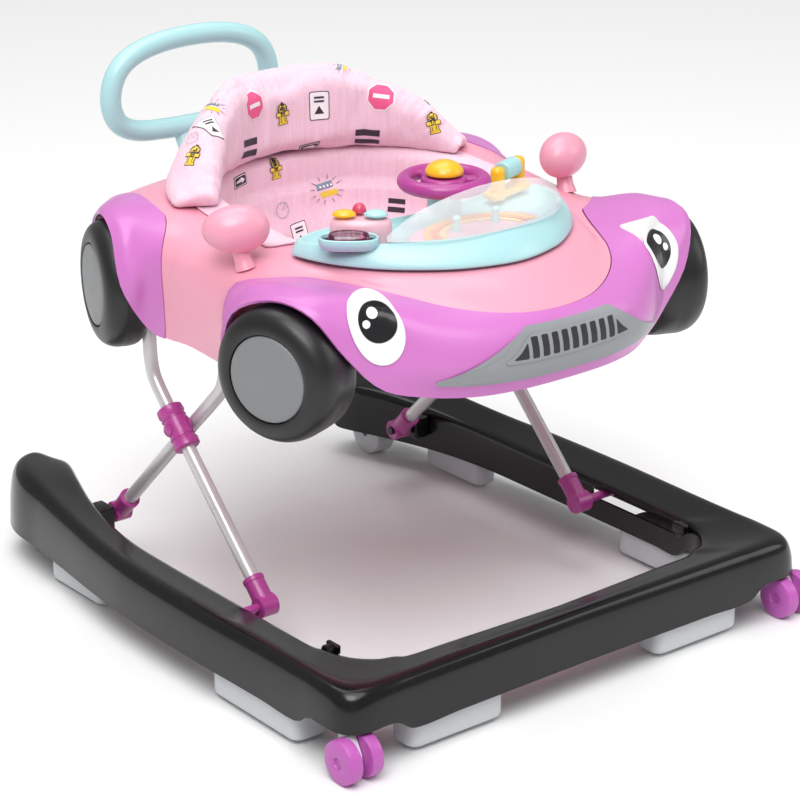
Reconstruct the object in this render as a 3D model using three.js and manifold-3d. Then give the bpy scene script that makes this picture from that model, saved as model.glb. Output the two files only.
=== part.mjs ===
// Baby walker in the shape of a little car: a floor frame on casters, two folding scissor legs,
// a car-bodied tray with a fabric seat, a lift-off toy tray and a push handle.
// Millimetres, +Z up. The nose points to -Y, +X is the child's left hand side seen from the front.
import * as THREE from "three";
import { mergeVertices } from "three/addons/utils/BufferGeometryUtils.js";
import Module from "manifold-3d";

// ---------- Driving dimensions ----------
const GAP = 0.4; // clearance between touching pieces
const MIDDLE_Y = 16.8; // middle of the object's length, moved to the origin at the end

const RAIL = { bottom: 38, top: 95, rearTop: 112, wall: 3.5, cornerBottom: 51 };
const SLOT = { z: 72, half: 6.2, front: -214, rear: -60 };
const CASTER = { x: 312, stemY: -328, axleY: -339, r: 24, width: 44, core: 11, stem: 5, axle: 4 };
const REAR_WHEEL = { x: 250, y: 346, r: 28, width: 30, axle: 4 };
const PAD = { bottom: 5, top: 46, radius: 14 };

const TUBE_R = 8;
const TUBE_WALL = 1.3;
const OUTER_X = 230; // plane of the outer leg tubes
const INNER_X = 210; // plane of the inner leg tubes
const HUB = { y: 84, z: 230 };
const FOOT = { run: 160, z: 72 }; // hub to foot along Y
const TOP_RUN = 66; // hub to top pivot along Y
const TOP_Z = 365;
const PIN_R = 4;

const SKIN = 3; // wall of the moulded tray pieces
const DECOR = { r: 72, capR: 46 };
const DECOR_FRONT = { x: 293, y: -173.5, z: 376, toe: 17.8, width: 70, taper: 5 };
const DECOR_REAR = { x: 273, y: 181, z: 381, toe: -18, width: 46, taper: 0 };
const PAN = { z: 377, thick: 5 };
const WELL = { y: 78, scale: 0.985 };
const TOY = { floor: 455.4, deck: 470 };
const STEERING = { y: -98, z: 514, r: 51, tube: 7 };
const HANDLE = { y: 380, r: 12.5 };

// ---------- Colours ----------
const finish = (color, roughness, metalness = 0) =>
  new THREE.MeshStandardMaterial({ color, roughness, metalness });
const PINK = finish(0xf2a7bb, 0.35);
const ORCHID = finish(0xcf6fc6, 0.35);
const MAGENTA = finish(0xb83a8a, 0.4);
const TEAL = finish(0xa5dde0, 0.35);
const BLACK = finish(0x121114, 0.15);
const TYRE = finish(0x1c1c1e, 0.55);
const GREY = finish(0x85888b, 0.45);
const PALE = finish(0xc9cccf, 0.5);
const STEEL = finish(0xd6d3d4, 0.35, 0.3);
const YELLOW = finish(0xf6b81c, 0.35);
const RED = finish(0xd24a6a, 0.35);
const CLEAR = finish(0xdfe9ee, 0.3);
const BERRY = finish(0x7a1848, 0.2);
const FABRIC = finish(0xf1c6d6, 0.9);

// ---------- Solids ----------
const wasm = await Module();
wasm.setup();

function toSolid(geometry) {
  const source = geometry.index ? geometry.toNonIndexed() : geometry;
  const bare = new THREE.BufferGeometry();
  bare.setAttribute("position", source.getAttribute("position"));
  const merged = mergeVertices(bare, 1e-4);
  return new wasm.Manifold(new wasm.Mesh({
    numProp: 3,
    vertProperties: merged.attributes.position.array,
    triVerts: new Uint32Array(merged.index.array),
  }));
}

function toGeometry(solid) {
  const mesh = solid.getMesh();
  const geometry = new THREE.BufferGeometry();
  geometry.setAttribute("position", new THREE.BufferAttribute(new Float32Array(mesh.vertProperties), 3));
  geometry.setIndex(new THREE.BufferAttribute(new Uint32Array(mesh.triVerts), 1));
  geometry.computeVertexNormals();
  return geometry;
}

function join(...geometries) {
  return toGeometry(geometries.map(toSolid).reduce((all, next) => all.add(next)));
}

function cut(body, ...tools) {
  return toGeometry(tools.map(toSolid).reduce((left, tool) => left.subtract(tool), toSolid(body)));
}

function cylinder(radius, length, axis, centre, segments = 24, endRadius = radius) {
  const g = new THREE.CylinderGeometry(endRadius, radius, length, segments);
  const turn = new THREE.Quaternion().setFromUnitVectors(
    new THREE.Vector3(0, 1, 0), new THREE.Vector3(...axis).normalize());
  return g.applyQuaternion(turn).translate(...centre);
}

function box(low, high) {
  const size = high.map((v, i) => v - low[i]);
  return new THREE.BoxGeometry(...size).translate(...high.map((v, i) => (v + low[i]) / 2));
}

const mirrored = (geometry) => {
  const g = geometry.index ? geometry.toNonIndexed() : geometry.clone();
  const p = g.getAttribute("position");
  for (let i = 0; i < p.count; i += 3) {
    const [a, b, c] = [0, 1, 2].map((k) => [-p.getX(i + k), p.getY(i + k), p.getZ(i + k)]);
    p.setXYZ(i, ...a);
    p.setXYZ(i + 1, ...c);
    p.setXYZ(i + 2, ...b);
  }
  const bare = new THREE.BufferGeometry().setAttribute("position", p);
  bare.computeVertexNormals();
  return bare;
};

// Triangles of a flat or nearly flat ring, in the ring's own winding.
function capFaces(ring) {
  const normal = new THREE.Vector3();
  const centre = new THREE.Vector3();
  ring.forEach((p, i) => {
    normal.add(new THREE.Vector3().crossVectors(p, ring[(i + 1) % ring.length]));
    centre.addScaledVector(p, 1 / ring.length);
  });
  const side = new THREE.Vector3().subVectors(ring[0], centre).normalize();
  normal.addScaledVector(side, -normal.dot(side)).normalize();
  const up = new THREE.Vector3().crossVectors(normal, side);
  const flat = ring.map((p) => {
    const d = new THREE.Vector3().subVectors(p, centre);
    return new THREE.Vector2(d.dot(side), d.dot(up));
  });
  const area = (a, b, c) => (b.x - a.x) * (c.y - a.y) - (b.y - a.y) * (c.x - a.x);
  const turn = Math.sign(THREE.ShapeUtils.area(flat));
  return THREE.ShapeUtils.triangulateShape(flat, []).map((f) =>
    Math.sign(area(...f.map((k) => flat[k]))) === turn ? f : [f[0], f[2], f[1]]);
}

// Closed skin through rings of equal length. A loop joins the last ring to the first; otherwise both
// ends are capped. The faces are turned to point outwards.
function loft(rings, loop = false) {
  const n = rings[0].length;
  const corners = [];
  const put = (...points) => points.forEach((p) => corners.push(p.x, p.y, p.z));
  const spans = loop ? rings.length : rings.length - 1;
  for (let i = 0; i < spans; i++) {
    const near = rings[i];
    const far = rings[(i + 1) % rings.length];
    for (let j = 0; j < n; j++) {
      const k = (j + 1) % n;
      put(near[j], near[k], far[k]);
      put(near[j], far[k], far[j]);
    }
  }
  if (!loop) {
    const first = rings[0];
    const last = rings[rings.length - 1];
    capFaces(first).forEach(([a, b, c]) => put(first[a], first[c], first[b]));
    capFaces(last).forEach(([a, b, c]) => put(last[a], last[b], last[c]));
  }
  let volume = 0;
  for (let i = 0; i < corners.length; i += 9) {
    const [a, b, c] = [0, 3, 6].map((k) => new THREE.Vector3(...corners.slice(i + k, i + k + 3)));
    volume += a.dot(b.cross(c));
  }
  if (volume < 0)
    for (let i = 0; i < corners.length; i += 9)
      for (let k = 0; k < 3; k++)
        [corners[i + 3 + k], corners[i + 6 + k]] = [corners[i + 6 + k], corners[i + 3 + k]];
  const geometry = new THREE.BufferGeometry();
  geometry.setAttribute("position", new THREE.Float32BufferAttribute(corners, 3));
  geometry.computeVertexNormals();
  return geometry;
}

// Outline in the XY plane, extruded from z0 to z1. Points are [x, y]; corners are rounded by radius.
function slab(points, z0, z1, radius = 0) {
  const shape = new THREE.Shape();
  const n = points.length;
  points.forEach((p, i) => {
    const here = new THREE.Vector2(...p);
    const before = new THREE.Vector2(...points[(i + n - 1) % n]);
    const after = new THREE.Vector2(...points[(i + 1) % n]);
    const from = here.clone().add(before.sub(here).setLength(radius || 1e-3));
    const to = here.clone().add(after.sub(here).setLength(radius || 1e-3));
    if (i === 0) shape.moveTo(from.x, from.y);
    else shape.lineTo(from.x, from.y);
    if (radius) shape.quadraticCurveTo(here.x, here.y, to.x, to.y);
    else shape.lineTo(here.x, here.y);
  });
  shape.closePath();
  return new THREE.ExtrudeGeometry(shape, { depth: z1 - z0, bevelEnabled: false, curveSegments: 3 })
    .translate(0, 0, z0);
}

function tube(points, radius, steps, wall = 0, segments = 14) {
  const shape = new THREE.Shape().absarc(0, 0, radius, 0, 2 * Math.PI, false);
  if (wall) shape.holes.push(new THREE.Path().absarc(0, 0, radius - wall, 0, 2 * Math.PI, true));
  const path = new THREE.CatmullRomCurve3(points.map((p) => new THREE.Vector3(...p)), false, "centripetal");
  return new THREE.ExtrudeGeometry(shape, {
    steps, curveSegments: segments, bevelEnabled: false, extrudePath: path });
}

// ---------- Tray skin: a net of control points, right half from the nose to the tail ----------
// Rings run outwards: well wall, well rim, toy tray seat, fender line, shoulder, side, lower lip.
const NET = [
  [[0, -50], [35, -49], [62, -46], [86, -40], [106, -31], [120, -21], [130, -11], [137, 1], [142, 13],
    [146, 27], [149, 43], [150, 62], [149, 86], [145, 108], [137, 130], [124, 152], [107, 172],
    [88, 187], [50, 202], [0, 207]].map(([x, y]) =>
    [x * WELL.scale, WELL.y + (y - WELL.y) * WELL.scale, 432]),
  [[0, -50, 448], [35, -49, 448], [62, -46, 448], [86, -40, 448], [106, -31, 448], [120, -21, 448],
    [130, -11, 449], [137, 1, 451], [142, 13, 455], [146, 27, 459], [149, 43, 463], [150, 62, 465],
    [149, 86, 467], [145, 108, 468], [137, 130, 469], [124, 152, 469], [107, 172, 469],
    [88, 187, 469], [50, 202, 469], [0, 207, 469]],
  [[0, -230, 452.5], [58, -215, 452.5], [100, -191, 452.5], [133, -161, 452.5], [152, -137, 452],
    [163, -117, 451], [172, -98, 451], [178, -80, 451.5], [183, -60, 453], [187, -40, 456],
    [189, -15, 460], [190, 20, 463], [189, 60, 466], [186, 95, 469], [176, 130, 471],
    [160, 165, 471], [142, 193, 470], [120, 214, 468], [72, 234, 467], [0, 240, 467]],
  [[0, -290, 423], [46, -283, 424], [86, -263, 428], [117, -238, 434], [139, -209, 440],
    [154, -180, 443], [167, -153, 445], [180, -129, 446], [194, -106, 447], [210, -82, 448],
    [221, -48, 451], [227, 5, 455], [226, 60, 461], [224, 98, 468], [219, 132, 472],
    [210, 167, 472], [198, 202, 468], [178, 234, 461], [105, 264, 456], [0, 272, 456]],
  [[0, -303, 408], [56, -300, 408], [102, -286, 411], [144, -261, 420], [184, -228, 438],
    [212, -206, 451], [234, -184, 458], [249, -150, 461], [262, -114, 455], [256, -74, 441],
    [248, -42, 437], [248, 12, 436], [252, 68, 438], [258, 100, 450], [244, 140, 467],
    [226, 190, 468], [207, 238, 455], [188, 262, 436], [112, 290, 434], [0, 303, 436]],
  [[0, -309, 382], [60, -306, 382], [110, -294, 382], [153, -270, 385], [193, -238, 394],
    [229, -224, 429], [256, -203, 452], [271, -162, 458], [284, -118, 438], [283, -84, 402],
    [262, -52, 392], [253, 20, 392], [256, 84, 394], [277, 96, 415], [264, 134, 459],
    [245, 192, 464], [225, 242, 437], [207, 259, 393], [118, 300, 392], [0, 308, 392]],
  [[0, -297, 347], [60, -294, 347], [110, -281, 347], [155, -257, 350], [196, -237, 362],
    [236, -229, 403], [262, -208, 445], [277, -164, 454], [292, -114, 433], [287, -87, 383],
    [261, -70, 350], [251, 26, 347], [254, 95, 346], [284, 104, 398], [273, 139, 450],
    [255, 192, 458], [233, 241, 420], [216, 252, 352], [120, 298, 347], [0, 305, 347]],
];
const HALF = NET[0].length - 1;
const AROUND = 2 * HALF;
const LINE = 3; // ring of the fender line
const LIP = NET.length - 1;

function netPoint(ring, column) {
  const c = ((column % AROUND) + AROUND) % AROUND;
  const [x, y, z] = NET[THREE.MathUtils.clamp(ring, 0, LIP)][c <= HALF ? c : AROUND - c];
  return new THREE.Vector3(c <= HALF ? x : -x, y, z);
}

// Catmull-Rom weights of the four neighbours of a span.
function weights(t) {
  return [-t + 2 * t ** 2 - t ** 3, 2 - 5 * t ** 2 + 3 * t ** 3, t + 4 * t ** 2 - 3 * t ** 3, t ** 3 - t ** 2]
    .map((w) => w / 2);
}

function ringPoint(ring, u) {
  const i = Math.floor(u);
  const w = weights(u - i);
  const point = new THREE.Vector3();
  for (let a = 0; a < 4; a++) point.addScaledVector(netPoint(ring, i + a - 1), w[a]);
  return point;
}

// Point of the tray's outer skin: u counts columns around from the nose, v counts rings outwards.
// Across the rings the slopes are weighed by the spacing, so a tight corner doesn't swing out.
function skin(u, v) {
  const j = Math.min(Math.floor(v), LIP - 1);
  const t = v - j;
  const [before, from, to, after] = [j - 1, j, j + 1, j + 2].map((k) => ringPoint(k, u));
  const length = from.distanceTo(to);
  const start = to.clone().sub(before).multiplyScalar(length / (length + from.distanceTo(before)));
  const end = after.clone().sub(from).multiplyScalar(length / (length + to.distanceTo(after)));
  return from.multiplyScalar(2 * t ** 3 - 3 * t ** 2 + 1).addScaledVector(to, 3 * t ** 2 - 2 * t ** 3)
    .addScaledVector(start, t ** 3 - 2 * t ** 2 + t).addScaledVector(end, t ** 3 - t ** 2);
}

function skinNormal(u, v) {
  const e = 0.02;
  const low = Math.max(v - e, 0);
  const high = Math.min(v + e, LIP);
  const du = skin(u + e, v).sub(skin(u - e, v));
  const dv = skin(u, high).sub(skin(u, low));
  return du.cross(dv).normalize().negate();
}

// Moulded piece of the tray: the stretch of skin between two lines v(u), given its wall inwards.
function shell(columns, upper, lower, steps, loop = false, wall = SKIN) {
  const rings = columns.map((u) => {
    const from = upper(u);
    const to = lower(u);
    const vs = Array.from({ length: steps + 1 }, (_, k) => from + ((to - from) * k) / steps);
    const outside = vs.map((v) => skin(u, v));
    const inside = vs.map((v, k) => outside[k].clone().addScaledVector(skinNormal(u, v), -wall));
    return [...outside, ...inside.reverse()];
  });
  return loft(rings, loop);
}

const span = (from, to, steps) =>
  Array.from({ length: steps + 1 }, (_, i) => from + ((to - from) * i) / steps);

// A fender's upper line follows the fender ring and rounds down to the lip at each end.
const FRONT_FENDER = { from: -10, to: 10, corner: 2.2 };
const REAR_FENDER = { from: 11.6, to: 17.3, corner: 1.9 };
function fenderLine({ from, to, corner }, u) {
  const inset = Math.min(u - from, to - u) / corner;
  const w = THREE.MathUtils.clamp(1 - inset, 0, 1);
  return LINE + (LIP - LINE) * (1 - Math.sqrt(1 - w * w));
}
function fenderColumns({ from, to, corner }, middle, ends = 5) {
  const round = span(0, Math.PI / 2, ends).map((a) => corner * (1 - Math.cos(a)));
  const near = round.map((d) => from + d).filter((u) => u > from);
  const far = round.map((d) => to - d).filter((u) => u < to).reverse();
  return [...near, ...span(from + corner, to - corner, middle).slice(1, -1), ...far];
}
const LINE_GAP = 0.03; // half the parting line between tray pieces, in rings
const FRONT_SPANS = 20; // even, so that a column falls on the middle
const REAR_SPANS = 7;

// ---------- Floor frame ----------
// Stations of the right half from the front centre to the tail: inner wall, outer wall, top, bottom.
function railStations() {
  const t = RAIL.top;
  const b = RAIL.bottom;
  const c = RAIL.cornerBottom;
  return [
    [[0, -292], [0, -345], t, b], [[80, -289], [90, -346], t, b], [[150, -286], [180, -347], t, b],
    [[200, -284], [242, -348], t, b], [[214, -281], [264, -348], t, c], [[230, -275], [299, -347], t, c],
    [[242, -265], [316, -341], t, c], [[251, -254], [325, -328], t, c], [[258, -238], [327, -305], t, c],
    [[262, -222], [327, -282], t, c], [[263, -206], [327, -262], t, b], [[264, -170], [327, -200], t, b],
    [[264, -60], [330, -60], t, b], [[264, 60], [328, 60], t, b],
    [[263, 130], [321, 140], t + 1, b], [[257, 190], [313, 210], t + 5, b],
    [[244, 250], [306, 278], t + 11, b], [[226, 305], [300, 338], RAIL.rearTop, b],
    [[212, 342], [278, 380], RAIL.rearTop, b], [[206, 364], [246, 396], RAIL.rearTop - 5, b],
    [[205, 374], [221, 393], RAIL.rearTop - 18, b + 4],
  ];
}

// Inverted U section of the moulded rail, from the outer lower edge over the ridge to the inner one.
function railSection([inner, outer, top, bottom], sign) {
  const width = Math.hypot(inner[0] - outer[0], inner[1] - outer[1]);
  const profile = [[0, 0], [0.03, 0.6], [0.1, 0.86], [0.2, 0.97], [0.33, 1], [0.6, 0.96], [0.92, 0.84],
    [1, 0.74], [1, 0]];
  const wall = RAIL.wall;
  const height = top - bottom;
  const outside = profile.map(([k, h]) => [k * width, bottom + h * height]);
  const inside = outside.map(([s, z]) => [
    THREE.MathUtils.lerp(wall, width - wall, s / width),
    bottom + (z - bottom) * ((height - wall) / height),
  ]);
  return [...outside, ...inside.reverse()].map(([s, z]) => {
    const k = s / width;
    return new THREE.Vector3(
      sign * THREE.MathUtils.lerp(outer[0], inner[0], k), THREE.MathUtils.lerp(outer[1], inner[1], k), z);
  });
}

const bothSides = (make) => [1, -1].map(make);
const slabX = (sign, near, far, y, z) => box(
  [Math.min(sign * near, sign * far), y[0], z[0]], [Math.max(sign * near, sign * far), y[1], z[1]]);

// Hangers inside the tail that hold the roller's axle.
function rollerHanger(sign) {
  const { x, y, r, width, axle } = REAR_WHEEL;
  const near = width / 2 + 0.8;
  const plates = [-1, 1].map((side) => slabX(
    sign, x + side * near, x + side * (near + 4), [y - 11, y + 11], [r - 8, RAIL.rearTop - 7]));
  return [...plates, cylinder(axle, width + 6, [1, 0, 0], [sign * x, y, r], 14)];
}

function baseShell() {
  const half = railStations();
  const left = half.slice(1).reverse().map((s) => railSection(s, -1));
  const right = half.map((s) => railSection(s, 1));
  const stemX = CASTER.x;
  const bosses = bothSides((s) => cylinder(10, 36, [0, 0, 1], [s * stemX, CASTER.stemY, 69.5], 16));
  const hangers = bothSides(rollerHanger).flat();
  const body = join(loft([...left, ...right]), ...bosses, ...hangers);
  const slots = bothSides((s) => slabX(
    s, 255, 275, [SLOT.front, SLOT.rear], [SLOT.z - SLOT.half, SLOT.z + SLOT.half]));
  const sockets = bothSides((s) => cylinder(
    CASTER.stem + GAP, 32, [0, 0, 1], [s * stemX, CASTER.stemY, 66], 16));
  return cut(body, ...slots, ...sockets);
}

function floorPad([x0, x1], [y0, y1]) {
  const outline = [[x0, y0], [x1, y0], [x1, y1], [x0, y1]];
  return slab(outline, PAD.bottom, PAD.top, PAD.radius);
}

function caster(sign) {
  const { x, stemY, axleY, r, core, stem, axle } = CASTER;
  const swivel = cylinder(stem, 34, [0, 0, 1], [sign * x, stemY, r + 38 - 2], 16);
  const fork = slabX(sign, x - core / 2, x + core / 2, [axleY - 9, stemY + 9], [r - 9, r + 24]);
  const sleeve = cylinder(axle + 3 + GAP, core + 4, [1, 0, 0], [sign * x, axleY, r], 16);
  return cut(join(swivel, fork), sleeve);
}

// Twin wheel: two wheels joined by a sleeve round the axle; the fork straddles the sleeve.
function casterTwin(sign) {
  const { x, axleY, r, core, width, axle } = CASTER;
  const near = core / 2 + GAP;
  const far = width / 2;
  const hub = axle + 3;
  const half = [[hub, near], [r - 1.5, near], [r, near + 1.5], [r, far - 4], [r - 3, far - 1], [11, far],
    [9, far - 1.5], [0, far - 1.5]];
  const profile = [...half.slice().reverse().map(([a, b]) => [a, -b]), ...half]
    .map(([a, b]) => new THREE.Vector2(a, b));
  return new THREE.LatheGeometry(profile, 14).rotateZ(-Math.PI / 2).translate(sign * x, axleY, r);
}

function roller(sign) {
  const { x, y, r, width, axle } = REAR_WHEEL;
  const body = cylinder(r, width, [1, 0, 0], [sign * x, y, r], 28);
  return cut(body, cylinder(axle + GAP, width + 4, [1, 0, 0], [sign * x, y, r], 14));
}

// ---------- Folding legs ----------
const ACROSS = [1, 0, 0];
const outerPath = (x) => [[x, HUB.y - FOOT.run + 7, FOOT.z + 7], [x, HUB.y - 60, HUB.z - 59],
  [x, HUB.y, HUB.z], [x, 112, 258], [x, 129, 278], [x, 135, 298], [x, 137, 325], [x, 142, 345],
  [x, HUB.y + TOP_RUN, TOP_Z]];
const innerPath = (x) => [[x, HUB.y + FOOT.run - 7, FOOT.z + 7], [x, HUB.y + 60, HUB.z - 59],
  [x, HUB.y, HUB.z], [x, 44, 269], [x, 26, 289], [x, 19, 310], [x, 18, 335], [x, HUB.y - TOP_RUN, TOP_Z]];

function legTube(path, x, steps) {
  const points = path(x);
  const body = tube(points, TUBE_R, steps, TUBE_WALL, 4);
  const top = points[points.length - 1];
  return { body, top };
}

// Outer leg: turns on the tray's pin at the top and carries the hub pin.
function outerTube(sign) {
  const x = sign * OUTER_X;
  const { body, top } = legTube(outerPath, x, 11);
  const eye = cylinder(TUBE_R, 16, ACROSS, top, 10);
  const pin = cylinder(PIN_R, 46, ACROSS, [sign * (OUTER_X - 12), HUB.y, HUB.z], 8);
  const bore = cylinder(PIN_R + GAP, 30, ACROSS, top, 8);
  return cut(join(body, eye, pin), bore);
}

// Inner leg: turns on the hub pin and slides in the tray's track.
function innerTube(sign) {
  const x = sign * INNER_X;
  const { body, top } = legTube(innerPath, x, 11);
  const slider = cylinder(PIN_R, 24, ACROSS, [sign * (INNER_X - 10), top[1], top[2]], 8);
  const eye = cylinder(TUBE_R, 16, ACROSS, top, 10);
  const bore = cylinder(PIN_R + GAP, 30, ACROSS, [x, HUB.y, HUB.z], 8);
  return cut(join(body, eye, slider), bore);
}

// Moulded foot over the end of a tube; direction points up the tube.
function footCap(x, y, direction, pinFrom, pinTo) {
  const d = new THREE.Vector3(0, ...direction).normalize();
  const centre = [x, y + d.y * 16, FOOT.z + d.z * 16];
  const sleeve = cylinder(11.5, 34, d.toArray(), centre, 12);
  const head = cylinder(12.5, 22, ACROSS, [x, y, FOOT.z], 12);
  const start = new THREE.Vector3(x, y, FOOT.z).addScaledVector(d, 60 + 8.8);
  const socket = cylinder(TUBE_R + 2 * GAP, 120, d.toArray(), start.toArray(), 10);
  const hinge = cylinder(PIN_R + 1, Math.abs(pinTo - pinFrom), ACROSS, [(pinFrom + pinTo) / 2, y, FOOT.z], 14);
  return { solid: cut(join(sleeve, head), socket), hinge };
}

function outerFoot(sign) {
  const { solid, hinge } = footCap(
    sign * OUTER_X, HUB.y - FOOT.run, [1, 1], sign * (OUTER_X + 5), sign * 285);
  return join(solid, hinge);
}

function innerFoot(sign) {
  const { solid } = footCap(sign * INNER_X, HUB.y + FOOT.run, [-1, 1], 0, 0);
  return cut(solid, cylinder(PIN_R + 1 + GAP, 60, ACROSS, [sign * INNER_X, HUB.y + FOOT.run, FOOT.z], 14));
}

function footBracket(sign) {
  const y = HUB.y + FOOT.run;
  const outline = [[226, y - 15], [247.8, y - 15], [243.3, y + 6], [240.6, y + 13], [226, y + 13]];
  const plate = slab(outline.map(([x, v]) => [sign * x, v]), FOOT.z - 15, FOOT.z + 13);
  return join(plate, cylinder(
    PIN_R + 1, 44, ACROSS, [sign * (INNER_X + 8), y, FOOT.z], 14));
}

function hubClamp(sign) {
  const x = sign * OUTER_X;
  const d = [0, 1, 0.985];
  const barrel = cylinder(14, 50, d, [x, HUB.y, HUB.z], 12);
  const collars = [-21, 21].map((k) => cylinder(
    15.5, 8, d, [x, HUB.y + k * 0.7, HUB.z + k * 0.7], 12));
  const bore = cylinder(TUBE_R + 2 * GAP, 80, d, [x, HUB.y, HUB.z], 10);
  const pinHole = cylinder(PIN_R + GAP, 46, ACROSS, [sign * (OUTER_X - 12), HUB.y, HUB.z], 8);
  const trim = slabX(sign, 190, INNER_X + TUBE_R + 0.8, [0, 200], [150, 320]);
  return cut(join(barrel, ...collars), bore, pinHole, trim);
}

// ---------- Tray ----------
function trayBody() {
  const lower = (u) => {
    const c = u > HALF ? AROUND - u : u;
    if (c < FRONT_FENDER.to) return fenderLine(FRONT_FENDER, c) - LINE_GAP;
    if (c > REAR_FENDER.from && c < REAR_FENDER.to) return fenderLine(REAR_FENDER, c) - LINE_GAP;
    return LIP;
  };
  const half = [...fenderColumns(FRONT_FENDER, FRONT_SPANS).filter((u) => u >= 0), FRONT_FENDER.to, 10.9,
    REAR_FENDER.from, ...fenderColumns(REAR_FENDER, REAR_SPANS), REAR_FENDER.to, 18.2, 19.1, HALF];
  const columns = [...half, ...half.slice(1, -1).reverse().map((u) => AROUND - u)];
  return shell(columns, () => 0, lower, 7, true);
}

function fender(kind, middle, mirror = false) {
  const columns = fenderColumns(kind, middle);
  const upper = (u) => Math.min(fenderLine(kind, u) + LINE_GAP, LIP - 0.12);
  const made = shell(columns, upper, () => LIP, 5);
  return mirror ? mirrored(made) : made;
}

// Patch standing on the skin, between two heights above it.
function patch(us, vs, low, high) {
  const rings = us.map((u) => {
    const top = vs.map((v) => skin(u, v).addScaledVector(skinNormal(u, v), high));
    const under = vs.map((v) => skin(u, v).addScaledVector(skinNormal(u, v), low));
    return [...top, ...under.reverse()];
  });
  return loft(rings);
}

function stencil(outline, y0, y1) {
  const shape = new THREE.Shape(outline.map(([x, z]) => new THREE.Vector2(x, z)));
  return new THREE.ExtrudeGeometry(shape, { depth: y1 - y0, bevelEnabled: false, curveSegments: 4 })
    .rotateX(Math.PI / 2).translate(0, y1, 0);
}

function grille() {
  const half = [[58, 414], [74, 404], [86, 393], [106, 385], [128, 378], [147, 370], [150, 366],
    [120, 364], [60, 362]];
  const outline = [...half, ...half.slice().reverse().map(([x, z]) => [-x, z])];
  const slots = span(-52, 52, 8).map((x) => box([x - 4.2, -330, 384], [x + 4.2, -235, 405]));
  const plate = patch(span(-3.4, 3.4, 8), span(4.2, 5.96, 3), 1.6, 4.4);
  const face = toGeometry(toSolid(plate).intersect(toSolid(stencil(outline, -330, -235))));
  return cut(face, ...slots);
}

function eyeWhite(sign) {
  const u = 4.72;
  const v = 4.52;
  const centre = skin(u, v);
  const normal = skinNormal(u, v);
  const up = new THREE.Vector3(0.1, 0.2, 1).addScaledVector(normal, -normal.dot(
    new THREE.Vector3(0.1, 0.2, 1))).normalize();
  const side = new THREE.Vector3().crossVectors(normal, up);
  const plug = new THREE.CylinderGeometry(1, 1, 60, 18).applyMatrix4(
    new THREE.Matrix4().makeBasis(side.clone().multiplyScalar(28), normal, up.clone().multiplyScalar(38)));
  plug.translate(centre.x, centre.y, centre.z);
  const sheet = patch(span(3.25, 6.5, 10), span(3.06, 5.96, 6), 3.4, 5);
  const made = toGeometry(toSolid(sheet).intersect(toSolid(plug)));
  return sign > 0 ? made : mirrored(made);
}

function decorWheel(kind, sign, profile, segments = 22) {
  const lathe = new THREE.LatheGeometry(profile.map(([r, s]) => new THREE.Vector2(r, s)), segments);
  const turn = THREE.MathUtils.degToRad(kind.toe);
  lathe.rotateZ(-Math.PI / 2).rotateZ(-turn).translate(kind.x, kind.y, kind.z);
  return sign > 0 ? lathe : mirrored(lathe);
}
const tyreProfile = ({ width, taper }) => [[0, -9], [58, -9], [64 - taper, -width], [68 - taper, 4 - width],
  [72 - taper / 3, 14 - width], [72, -23], [70, -12.5], [65.5, -5], [58, -0.5], [48, 0.5], [46.5, -5],
  [0, -5]];
const capProfile = () => [[0, -4.5], [45.9, -4.5], [45.9, -1.2], [44, 0.4], [0, 1.4]];

// Under-tray: a flat ring with the legs' pivots and the wheels' mountings.
function trayPan() {
  const half = [[0, -288], [60, -285], [108, -272], [150, -247], [186, -222], [204, -195], [208, -110],
    [214, -80], [244, -62], [244, 74], [226, 96], [224, 130], [223, 150], [213, 176], [203, 202],
    [192, 234], [186, 252], [108, 286], [0, 294]];
  const outline = [...half, ...half.slice(1, -1).reverse().map(([x, y]) => [-x, y])];
  const shape = new THREE.Shape(outline.map(([x, y]) => new THREE.Vector2(x, y)));
  shape.holes.push(new THREE.Path().absellipse(0, WELL.y, 146, 128, 0, 2 * Math.PI, true));
  const plate = new THREE.ExtrudeGeometry(shape, { depth: PAN.thick, bevelEnabled: false, curveSegments: 10 })
    .translate(0, 0, PAN.z);
  const inner = TUBE_R + 0.8;
  const pieces = bothSides((s) => [
    slabX(s, OUTER_X - inner - 3.5, OUTER_X - inner, [138, 162], [352, PAN.z + 1]),
    cylinder(PIN_R, 18, ACROSS, [s * (OUTER_X - 1), HUB.y + TOP_RUN, TOP_Z], 12),
    cut(slabX(s, INNER_X - inner - 4, INNER_X - inner, [-124, 40], [352, PAN.z + 1]),
      slabX(s, INNER_X - 30, INNER_X, [-112, 27], [TOP_Z - PIN_R - GAP, TOP_Z + PIN_R + GAP])),
    ...[DECOR_FRONT, DECOR_REAR].map((kind) => {
      const reach = kind.width + (kind === DECOR_REAR ? 22 : 44);
      return decorWheel(kind, s, [[0, -reach], [13, -reach], [13, -9 - GAP], [0, -9 - GAP]], 8);
    }),
  ]).flat();
  return join(plate, ...pieces);
}

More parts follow.
